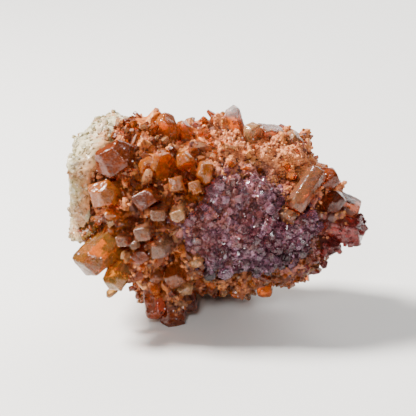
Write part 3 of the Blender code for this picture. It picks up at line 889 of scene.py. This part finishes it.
def spark_material(settings):
    """Small glossy blocks whose near-white colour is a painted glint."""
    material, tree, shader, position = start_material("sparks")
    fine = noise(tree, position, 900, detail=3)
    colour = patch(tree, settings.painted_lilac_glint, settings.painted_white_glint, fine, 0.35, 0.65)
    rough = remap(tree, fine, 0.3, 0.7, 0.03, 0.12)
    feed(tree, shader, {"Base Color": colour, "Roughness": rough})
    feed(tree, shader, {"IOR": SPARK_IOR, "Transmission Weight": 0.3})
    return material


def crystal_material(name, settings, deep, clear, cloudy, absorbed, density, transmission):
    """A see-through crystal: clear or cloudy in patches, rusty at its root, lined along its length."""
    material, tree, shader, position = start_material(name)
    along = add_node(tree, "ShaderNodeAttribute", attribute_name="lengthwise").outputs["Vector"]
    tone = attribute_value(tree, "tone")
    veil = noise(tree, position, 430, detail=5, distortion=0.8)
    lines = noise(tree, along, 1, detail=2)
    etched = cells(tree, position, 1700)["Distance"]
    cloud = remap(tree, veil, 0.45, 0.68)
    hazy = times(tree, remap(tree, veil, 0.5, 0.3), 0.55)
    dark = calculate(tree, "MAXIMUM", hazy, remap(tree, tone, 0.55, 0, 0, 0.8))
    dark = times(tree, dark, remap(tree, tone, 0.9, 1.0, 1, 0.3))
    rusty = times(tree, attribute_value(tree, "root"), remap(tree, lines, 0.25, 0.55))
    colour = mix_colours(tree, cloud, clear, cloudy)
    colour = mix_colours(tree, dark, colour, deep)
    colour = mix_colours(tree, attribute_value(tree, "tip"), colour, settings.tip)
    colour = tint(tree, colour, settings.root, rusty, share=0.85)
    rough = plus(tree, times(tree, cloud, 0.18), times(tree, rusty, 0.4))
    rough = plus(tree, rough, remap(tree, etched, 0.1, 0.5, 0.05, 0.16))
    feed(tree, shader, {"Base Color": colour, "Roughness": rough})
    feed(tree, shader, {"IOR": CREEDITE_IOR, "Transmission Weight": transmission})
    height = plus(tree, lines, times(tree, etched, 0.35))
    add_bump(tree, shader, height, 0.1 * MM, strength=0.7)
    add_absorption(tree, absorbed, density)
    return material


def mark_lengthwise(piece):
    """Writes on each corner its place in the crystal's own frame, stretched along the crystal."""
    corners = corners_of(piece)
    middle = corners.mean(0)
    _, turned = np.linalg.eigh(np.cov((corners - middle).T))
    place = (corners - middle) @ turned / MM
    place[:, :2] *= LINES_ACROSS
    place[:, 2] *= LINES_ALONG
    place += 10 * middle / MM
    attribute = piece.data.attributes.new("lengthwise", "FLOAT_VECTOR", "POINT")
    attribute.data.foreach_set("vector", place.astype(np.float32).ravel())


def face_crystal(node, settings):
    """A crystal with flat faces and narrow worn edges, in place of its CAD node."""
    piece = copy_of(node, "clear_" + node)
    in_edit_mode(piece, "EDGE")
    bpy.ops.mesh.dissolve_limited(angle_limit=math.radians(1))
    bpy.ops.mesh.normals_make_consistent(inside=False)
    out_of_edit_mode()
    apply_modifier(
        piece,
        "BEVEL",
        width=settings.edge,
        segments=2,
        limit_method="ANGLE",
        angle_limit=math.radians(20),
        loop_slide=False,
    )
    even_skin(piece, settings.skin)
    displace(piece, bpy.data.textures["crystal waves"], settings.waves)
    displace(piece, bpy.data.textures["crystal pits"], 0.25 * settings.waves)
    apply_modifier(piece, "DECIMATE", ratio=settings.thinned)
    cut_at_floor(piece)
    mark_lengthwise(piece)
    return piece


def start_shape(name, add, **values):
    """A new primitive in edit mode, with nothing else selected."""
    bpy.ops.object.select_all(action="DESELECT")
    add(**values)
    piece = bpy.context.object
    piece.name = name
    in_edit_mode(piece)
    return piece


def prism(name, sides, flatness, cuts):
    """A small crystal, one unit long, that stands on its root: a prism cut slantwise at its tip."""
    add = bpy.ops.mesh.primitive_cylinder_add
    piece = start_shape(name, add, vertices=sides, radius=0.3, depth=1.3, location=(0, 0, 0.35))
    bpy.ops.transform.resize(value=(1, flatness, 1))
    for place, normal in cuts:
        bpy.ops.mesh.select_all(action="SELECT")
        bpy.ops.mesh.bisect(plane_co=place, plane_no=normal, use_fill=True, clear_outer=True)
    bpy.ops.mesh.select_all(action="SELECT")
    bpy.ops.mesh.bevel(offset=0.02, segments=1, affect="EDGES")
    out_of_edit_mode()
    return piece


def crumb(name, seed, flatness):
    """A crumb, one unit across, with a few uneven faces."""
    piece = start_shape(name, bpy.ops.mesh.primitive_ico_sphere_add, subdivisions=1, radius=0.5)
    bpy.ops.transform.vertex_random(offset=0.16, seed=seed)
    bpy.ops.transform.resize(value=(1, flatness, 0.8))
    out_of_edit_mode()
    return piece


def block(name, lengths, worn):
    """A grain or a druse crystal, about one unit across: a block with worn edges."""
    piece = start_shape(name, bpy.ops.mesh.primitive_cube_add, size=1)
    bpy.ops.transform.resize(value=lengths)
    bpy.ops.mesh.bevel(offset=worn, segments=1, affect="EDGES")
    out_of_edit_mode()
    return piece


def as_shapes(name, pieces):
    """A collection of shapes to scatter, which aren't in the scene themselves."""
    collection = bpy.data.collections.new(name)
    for piece in pieces:
        collection.objects.link(piece)
        for other in list(piece.users_collection):
            if other != collection:
                other.objects.unlink(piece)
    return collection


def make_scatter_group():
    """Stands shapes all over the open parts of a surface, and makes them one mesh."""
    numbers = dict.fromkeys(("Spacing", "Smallest", "Largest", "Lean", "Share"), "Float")
    sockets = {"Shapes": "Collection", "Where": "String", **numbers, "Seed": "Int"}
    surface = {"Geometry": "Geometry"}
    tree, given, result = new_group("Scatter", "GeometryNodeTree", {**surface, **sockets}, surface)
    is_open = add_node(
        tree, "GeometryNodeInputNamedAttribute", {"Name": given["Where"]}, data_type="FLOAT"
    ).outputs[0]
    points = add_node(
        tree,
        "GeometryNodeDistributePointsOnFaces",
        {
            "Mesh": given["Geometry"],
            "Distance Min": given["Spacing"],
            "Density Max": 1e8,
            "Density Factor": times(tree, is_open, given["Share"]),
            "Seed": given["Seed"],
        },
        distribute_method="POISSON",
    ).outputs
    upright = add_node(
        tree, "FunctionNodeAlignRotationToVector", {"Vector": points["Normal"]}, axis="Z"
    ).outputs[0]
    back = times(tree, given["Lean"], -1.0)
    ends = [
        add_node(tree, "ShaderNodeCombineXYZ", {"X": lean, "Y": lean, "Z": turn}).outputs[0]
        for lean, turn in ((back, -math.pi), (given["Lean"], math.pi))
    ]
    turn = add_node(
        tree,
        "FunctionNodeRandomValue",
        {0: ends[0], 1: ends[1], "Seed": whole_plus(tree, given["Seed"], 1)},
        data_type="FLOAT_VECTOR",
    ).outputs[0]
    turned = add_node(
        tree,
        "FunctionNodeRotateRotation",
        {"Rotation": upright, "Rotate By": turn},
        rotation_space="LOCAL",
    ).outputs[0]
    seeds = [{"Seed": whole_plus(tree, given["Seed"], n)} for n in (2, 3)]
    chance, tone = (add_node(tree, "FunctionNodeRandomValue", seed).outputs[1] for seed in seeds)
    span = calculate(tree, "SUBTRACT", given["Largest"], given["Smallest"])
    grown = times(tree, calculate(tree, "POWER", chance, 2.0), span)
    shapes = add_node(
        tree,
        "GeometryNodeCollectionInfo",
        {"Collection": given["Shapes"], "Separate Children": True, "Reset Children": True},
    ).outputs[0]
    placed = add_node(
        tree,
        "GeometryNodeInstanceOnPoints",
        {
            "Points": points["Points"],
            "Instance": shapes,
            "Pick Instance": True,
            "Rotation": turned,
            "Scale": plus(tree, given["Smallest"], grown),
        },
    ).outputs[0]
    toned = add_node(
        tree,
        "GeometryNodeStoreNamedAttribute",
        {"Geometry": placed, "Name": "tone", "Value": tone},
        data_type="FLOAT",
        domain="INSTANCE",
    ).outputs[0]
    realized = add_node(tree, "GeometryNodeRealizeInstances", {"Geometry": toned}).outputs[0]
    feed(tree, result, {"Geometry": realized})


def scatter(base, name, **values):
    """A piece made of shapes that stand on a base piece, where the named attribute is above 0."""
    piece = in_scene(name, base.data.copy())
    modifier = piece.modifiers.new("Scatter", "NODES")
    modifier.node_group = bpy.data.node_groups["Scatter"]
    for item in modifier.node_group.interface.items_tree:
        if item.in_out == "INPUT" and item.name != "Geometry":
            modifier[item.identifier] = values[item.name.lower()]
    only(piece)
    bpy.ops.object.modifier_apply(modifier=modifier.name)
    return piece


class CREEDITE_OT_rock(bpy.types.Operator):
    """Breaks the host rock's surface, strews it with sugary grains and stains it beside the crust"""

    bl_idname = "creedite.rock"
    bl_label = "Host rock"

    def execute(self, context):
        settings = context.scene.creedite_rock
        piece = copy_of(NODE_OF_ROCK, "broken_rock")
        even_skin(piece, settings.grain)
        lumps = pattern("rock lumps", "CLOUDS", 3.0 * MM, noise_basis="VORONOI_F1", noise_depth=3)
        displace(piece, lumps, settings.lumps)
        displace(piece, pattern("rock sugar", "VORONOI", 1.1 * MM), -settings.sugar, 0.35)
        cut_at_floor(piece)
        places = corners_of(piece)
        beside_crust = nearness(piece, surface_of([NODE_OF_CRUST]), STAIN_REACH)
        mark(piece, "stain", np.maximum(beside_crust**0.7, 0.7 * ramp(places[:, 2], *ROCK_FOOT)))
        apart = apart_from(piece, [NODE_OF_CRUST, *CRYSTAL_NODES], 0.5 * MM)
        in_front = np.maximum(ramp(-places[:, 1], *ROCK_FRONT), ramp(places[:, 2], *ROCK_TOP))
        mark(piece, "open", apart * np.maximum(in_front, 0.45) * clear_of_floor(piece, GRAIN_ROOM))
        hand_over(piece, rock_material("pale rock", settings, 0.0), "host_rock", NODE_OF_ROCK)
        sugar = [block(f"sugar_{n}", (1, 0.9 - 0.2 * n, 0.6), 0.14) for n in range(3)]
        grains = scatter(
            piece,
            "rock_sugar",
            shapes=as_shapes("sugar", sugar),
            where="open",
            spacing=settings.spacing,
            smallest=settings.smallest,
            largest=settings.largest,
            lean=0.6,
            share=0.85,
            seed=9,
        )
        hand_over(grains, rock_material("rock sugar", settings, 0.35), "host_rock")
        return {"FINISHED"}


class CREEDITE_OT_crust(bpy.types.Operator):
    """Roughens the crust between its small crystals and strews it with crumbs"""

    bl_idname = "creedite.crust"
    bl_label = "Crust"

    def execute(self, context):
        settings = context.scene.creedite_crust
        grains = context.scene.creedite_grains
        others = [NODE_OF_ROCK, NODE_OF_DRUSE, *CRYSTAL_NODES]
        small = small_crystal_faces(NODE_OF_CRUST, others)
        piece = copy_of(NODE_OF_CRUST, "crumbly_crust")
        even_skin(piece, settings.grain)
        facet = gap_to(piece, small, 10 * FACET_REACH) < FACET_REACH
        facet = facet & (corners_of(piece)[:, 0] < FACETS_END)
        mark(piece, "facet", facet)
        group_corners(piece, "facets", facet)
        displace(piece, pattern("crust lumps", "CLOUDS", 2.4 * MM), settings.lumps, kept="facets")
        displace(piece, pattern("crust crumbs", "VORONOI", 0.8 * MM), settings.crumbs, kept="facets")
        cut_at_floor(piece)
        self.mark_crust(piece, others)
        hand_over(piece, crust_material(settings), "creedite_crust", NODE_OF_CRUST)
        crumbs = scatter(
            piece,
            "crust_crumbs",
            shapes=as_shapes("crumbs", [crumb(f"crumb_{n}", n, 1 - 0.12 * n) for n in range(4)]),
            where="crumbs",
            spacing=grains.spacing,
            smallest=grains.smallest,
            largest=grains.largest,
            lean=math.pi,
            share=1,
            seed=grains.seed,
        )
        hand_over(crumbs, crumb_material(settings), "creedite_crust")
        return {"FINISHED"}

    def mark_crust(self, piece, others):
        """Marks where the crust is shaded or mauve, and where crumbs, crystals and blocks stand."""
        places = corners_of(piece)
        across, height = places[:, 0], places[:, 2]
        facet = marked(piece, "facet")
        crowd = np.maximum(ramp(across, *CROWD_ACROSS), 0.7 * ramp(height, *CROWD_BELOW))
        crowd = np.maximum(crowd, 0.18)
        apart = apart_from(piece, others, 0.35 * MM)
        beside_druse = nearness(piece, surface_of([NODE_OF_DRUSE]), MAUVE_REACH)
        at_end = ramp(across, *RED_ACROSS) * ramp(height, *RED_BELOW)
        for_crumbs = apart * clear_of_floor(piece, CRUMB_ROOM)
        for_crystals = apart * (1 - facet) * clear_of_floor(piece, CRYSTAL_ROOM)
        # Where the painted shade near the floor falls
        mark(piece, "low", ramp(height, *PAINTED_SHADE_FOOT))
        mark(piece, "mauve", np.maximum(beside_druse, at_end))
        mark(piece, "crumbs", for_crumbs * (1 - 0.7 * facet) * (1 - 0.4 * crowd))
        mark(piece, "crowd", for_crystals * crowd)
        mark(piece, "red", for_crystals * at_end)
        mark(piece, "beside", for_crystals * ramp(beside_druse, 0.35, 0.9))


class CREEDITE_OT_druse(bpy.types.Operator):
    """Covers the druse with knobs and small glittering blocks"""

    bl_idname = "creedite.druse"
    bl_label = "Druse"

    def execute(self, context):
        settings = context.scene.creedite_druse
        grains = context.scene.creedite_grains
        piece = copy_of(NODE_OF_DRUSE, "knobbly_druse")
        even_skin(piece, settings.grain)
        displace(piece, pattern("druse knobs", "VORONOI", 2.0 * MM), -settings.knobs, 0.35)
        cut_at_floor(piece)
        apart = apart_from(piece, [NODE_OF_ROCK, *CRYSTAL_NODES], 0.5 * MM)
        edge = nearness(piece, surface_of([NODE_OF_CRUST]), RIM_REACH)
        mark(piece, "open", apart)
        mark(piece, "rim", apart * ramp(edge, 0.1, 0.8))
        mark(piece, "mauve", 1 - 0.5 * edge)
        hand_over(piece, druse_material(settings), "fluorite_druse", NODE_OF_DRUSE)
        self.add_blocks(piece, settings)
        rim = scatter(
            piece,
            "rim_crumbs",
            shapes=bpy.data.collections["crumbs"],
            where="rim",
            spacing=0.6 * MM,
            smallest=grains.smallest,
            largest=grains.largest,
            lean=math.pi,
            share=0.7,
            seed=6,
        )
        hand_over(rim, bpy.data.materials["loose crumbs"], "creedite_crust")
        return {"FINISHED"}

    def add_blocks(self, piece, settings):
        """Strews the druse and the crust beside it with blocks, clear lumps and sparks."""
        shapes = as_shapes(
            "blocks",
            [
                block("block_even", (1, 1, 1), 0.16),
                block("block_long", (0.8, 0.8, 1.3), 0.12),
                block("block_flat", (1.1, 0.9, 0.7), 0.2),
            ],
        )
        material = druse_block_material("druse blocks", settings, 0.0, 0.6)
        for base, name, where, spacing, seed in (
            (piece, "druse_blocks", "open", settings.spacing, 4),
            (bpy.data.objects["crumbly_crust"], "druse_strays", "beside", 2 * settings.spacing, 5),
        ):
            blocks = scatter(
                base,
                name,
                shapes=shapes,
                where=where,
                spacing=spacing,
                smallest=settings.smallest,
                largest=settings.largest,
                lean=0.9,
                share=1,
                seed=seed,
            )
            hand_over(blocks, material, "fluorite_druse")
        worn = [block("lump_round", (1, 0.9, 0.8), 0.3), block("lump_long", (1, 0.7, 0.6), 0.25)]
        lumps = scatter(
            piece,
            "druse_lumps",
            shapes=as_shapes("lumps", worn),
            where="open",
            spacing=settings.lump_spacing,
            smallest=settings.small_lump,
            largest=settings.lump,
            lean=0.6,
            share=1,
            seed=12,
        )
        hand_over(lumps, druse_block_material("druse lumps", settings, 0.45, 0.75), "fluorite_druse")
        join_pieces("druse_blocks", "druse_strays")
        # Sparks: small blocks coloured near white as a painted glint
        sparks = scatter(
            piece,
            "druse_sparks",
            shapes=shapes,
            where="open",
            spacing=1.2 * MM,
            smallest=0.2 * MM,
            largest=0.5 * MM,
            lean=math.pi,
            share=0.35,
            seed=14,
        )
        hand_over(sparks, spark_material(settings), "fluorite_druse")


class CREEDITE_OT_crystals(bpy.types.Operator):
    """Puts clear crystals with worn edges in place of the plain ones"""

    bl_idname = "creedite.crystals"
    bl_label = "Crystals"

    def execute(self, context):
        settings = context.scene.creedite_crystals
        materials = {
            finish: crystal_material(finish.replace("_", " "), settings, **values)
            for finish, values in FINISHES.items()
        }
        stones = surface_of(STONES)
        pattern("crystal waves", "CLOUDS", 1.6 * MM)
        pattern("crystal pits", "VORONOI", 0.7 * MM)
        for number, node in enumerate(CRYSTAL_NODES):
            piece = face_crystal(node, settings)
            mark(piece, "tone", tone_of(node, number))
            mark(piece, "root", nearness(piece, stones, ROOT_REACH))
            mark(piece, "tip", top_of(piece, TIP_REACH) * (node == PALE_TIPPED_NODE))
            hand_over(piece, materials[finish_of(node)], SLOT_OF[node], node)
        return {"FINISHED"}


class CREEDITE_OT_small_crystals(bpy.types.Operator):
    """Strews the crust with small crystals of each colour"""

    bl_idname = "creedite.small_crystals"
    bl_label = "Small crystals"

    def execute(self, context):
        settings = context.scene.creedite_crystals
        base_surface = surface_of([NODE_OF_CRUST])
        roof = (((0, 0, 0.95), (1, 0, 0.9)), ((0, 0, 0.95), (-1, 0.3, 0.9)))
        corner = (((0, 0, 0.8), (0.2, 0.1, 1)), ((0.1, 0, 0.8), (1, 1, 1)))
        shapes = as_shapes(
            "prisms",
            [
                prism("prism_slant", 6, 0.8, (((0, 0, 0.9), (0.7, 0.2, 1)),)),
                prism("prism_roof", 6, 0.7, roof),
                prism("prism_square", 4, 0.9, corner),
                prism("prism_blade", 5, 0.45, (((0, 0, 0.85), (0.9, 0.1, 0.8)),)),
            ],
        )
        for colour, where, share, seed in (
            ("amber", "crowd", 0.9, 21),
            ("brown", "crowd", 0.3, 22),
            ("pale", "crowd", 0.4, 23),
            ("red", "red", 0.6, 24),
        ):
            piece = scatter(
                bpy.data.objects["crumbly_crust"],
                f"small_{colour}_crystals",
                shapes=shapes,
                where=where,
                spacing=settings.small_spacing,
                smallest=settings.small_smallest,
                largest=settings.small_largest,
                lean=0.75,
                share=share,
                seed=seed,
            )
            mark_lengthwise(piece)
            mark(piece, "root", nearness(piece, base_surface, ROOT_REACH))
            hand_over(piece, bpy.data.materials[f"{colour} crystal"], f"{colour}_crystal")
        return {"FINISHED"}


def large_crystals():
    """One piece made of copies of the large crystals, marked with where small shapes may grow."""
    copies = [
        in_scene("large_crystals", bpy.data.objects["clear_" + node].data.copy())
        for node in CRYSTAL_NODES
    ]
    only(*copies)
    bpy.ops.object.join()
    large = copies[0]
    roots = marked(large, "root")
    red_nodes = [node for node in CRYSTAL_NODES if SLOT_OF[node] == "red_crystal"]
    red = gap_to(large, surface_of(red_nodes), 0.5 * MM) < 0.1 * MM
    for_crumbs = clear_of_floor(large, CRUMB_ROOM)
    for_crystals = clear_of_floor(large, GROWTH_ROOM)
    mark(large, "crumbs", ramp(roots, 0.15, 0.75) * for_crumbs)
    mark(large, "sides", ramp(roots, 0.0, 0.5) * (1 - red) * for_crystals)
    mark(large, "red", red * for_crystals)
    mark(large, "glints", (0.2 + 0.8 * ramp(roots, 0.0, 0.4)) * for_crumbs)
    mark(large, "mauve", red)
    # Where the painted shade near the floor falls on the crumbs at the roots
    mark(large, "low", ramp(corners_of(large)[:, 2], *PAINTED_SHADE_FOOT))
    return large


class CREEDITE_OT_root_growth(bpy.types.Operator):
    """Grows crumbs, side crystals and glints on the large crystals, most of them near the roots"""

    bl_idname = "creedite.root_growth"
    bl_label = "Growth on the crystals"

    def execute(self, context):
        large = large_crystals()
        slot_of_finish = {
            "loose crumbs": "creedite_crust",
            "amber crystal": "amber_crystal",
            "red crystal": "red_crystal",
            "sparks": "pale_crystal",
        }
        for name, shapes, where, spacing, smallest, largest, lean, share, finish in (
            ("root_crumbs", "crumbs", "crumbs", 0.6, 0.3, 0.85, math.pi, 0.9, "loose crumbs"),
            ("side_crystals", "prisms", "sides", 1.3, 0.7, 1.9, 0.9, 0.75, "amber crystal"),
            ("end_blocks", "blocks", "red", 1.1, 0.5, 1.3, 0.6, 0.7, "red crystal"),
            # Glints: small blocks coloured near white as a painted glint
            ("glints", "blocks", "glints", 1.5, 0.12, 0.36, 0.8, 0.35, "sparks"),
        ):
            piece = scatter(
                large,
                name,
                shapes=bpy.data.collections[shapes],
                where=where,
                spacing=spacing * MM,
                smallest=smallest * MM,
                largest=largest * MM,
                lean=lean,
                share=share,
                seed=31,
            )
            mark_lengthwise(piece)
            hand_over(piece, bpy.data.materials[finish], slot_of_finish[finish])
        bpy.data.objects.remove(large)
        join_pieces("root_crumbs", "rim_crumbs")
        join_pieces("small_amber_crystals", "side_crystals")
        join_pieces("small_red_crystals", "end_blocks")
        return {"FINISHED"}


def add_light(name, place, width, colour, power):
    """An area light that points at the cluster."""
    bpy.ops.object.light_add(type="AREA", location=place)
    light = bpy.context.object
    light.name = name
    light.data.size = width
    light.data.energy = power
    light.data.color = colour
    light.rotation_euler = (LIT_PLACE - Vector(place)).to_track_quat("-Z", "Y").to_euler()


class CREEDITE_OT_stage(bpy.types.Operator):
    """Adds the floor, the lights and the camera"""

    bl_idname = "creedite.stage"
    bl_label = "Stage"

    def execute(self, context):
        settings = context.scene.creedite_stage
        bpy.ops.object.select_all(action="DESELECT")
        bpy.ops.mesh.primitive_plane_add(size=settings.floor_size)
        floor = bpy.context.object
        floor.name = "floor"
        material, tree, shader, _ = start_material("floor")
        feed(tree, shader, {"Base Color": settings.floor, "Roughness": 0.9})
        floor.data.materials.append(material)
        for name, values in LIGHTS.items():
            add_light(name, *values, getattr(settings, name))
        world = bpy.data.worlds.new("studio")
        context.scene.world = world
        world.use_nodes = True
        background = world.node_tree.nodes["Background"]
        feed(world.node_tree, background, {"Color": SKY_COLOUR, "Strength": settings.sky})
        back = Vector((0, -math.cos(ELEVATION), math.sin(ELEVATION)))
        bpy.ops.object.camera_add(location=LOOKED_AT + back * CAMERA_DISTANCE)
        camera = bpy.context.object
        camera.rotation_euler = (math.pi / 2 - ELEVATION, 0, 0)
        camera.data.sensor_width = SENSOR
        camera.data.lens = SENSOR * CAMERA_DISTANCE / FRAMED_WIDTH
        camera.data.clip_start = 0.01
        context.scene.camera = camera
        return {"FINISHED"}


class CREEDITE_PT_panel(bpy.types.Panel):
    """Lists the steps that dress the cluster"""

    bl_idname = "CREEDITE_PT_panel"
    bl_label = "Creedite cluster"
    bl_space_type = "VIEW_3D"
    bl_region_type = "UI"
    bl_category = "Creedite"

    def draw(self, context):
        for operator in OPERATORS:
            self.layout.operator(operator.bl_idname)
        for attribute, _ in SETTINGS:
            group = getattr(context.scene, attribute)
            box = self.layout.box()
            for name in group.bl_rna.properties.keys():
                if name not in ("rna_type", "name"):
                    box.prop(group, name)


OPERATORS = (
    CREEDITE_OT_rock,
    CREEDITE_OT_crust,
    CREEDITE_OT_druse,
    CREEDITE_OT_crystals,
    CREEDITE_OT_small_crystals,
    CREEDITE_OT_root_growth,
    CREEDITE_OT_stage,
)
SETTINGS = (
    ("creedite_rock", RockSettings),
    ("creedite_crust", CrustSettings),
    ("creedite_grains", GrainSettings),
    ("creedite_druse", DruseSettings),
    ("creedite_crystals", CrystalSettings),
    ("creedite_stage", StageSettings),
)


def register():
    for _, group in SETTINGS:
        bpy.utils.register_class(group)
    for operator in OPERATORS:
        bpy.utils.register_class(operator)
    bpy.utils.register_class(CREEDITE_PT_panel)
    for attribute, group in SETTINGS:
        setattr(bpy.types.Scene, attribute, PointerProperty(type=group))


def unregister():
    for attribute, _ in SETTINGS:
        delattr(bpy.types.Scene, attribute)
    bpy.utils.unregister_class(CREEDITE_PT_panel)
    for operator in reversed(OPERATORS):
        bpy.utils.unregister_class(operator)
    for _, group in reversed(SETTINGS):
        bpy.utils.unregister_class(group)


def main():
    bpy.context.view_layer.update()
    register()
    make_mottle_group()
    make_grit_group()
    make_hollows_group()
    make_scatter_group()
    bpy.ops.creedite.rock()
    bpy.ops.creedite.crust()
    bpy.ops.creedite.druse()
    bpy.ops.creedite.crystals()
    bpy.ops.creedite.small_crystals()
    bpy.ops.creedite.root_growth()
    bpy.ops.creedite.stage()


if __name__ == "__main__":
    main()
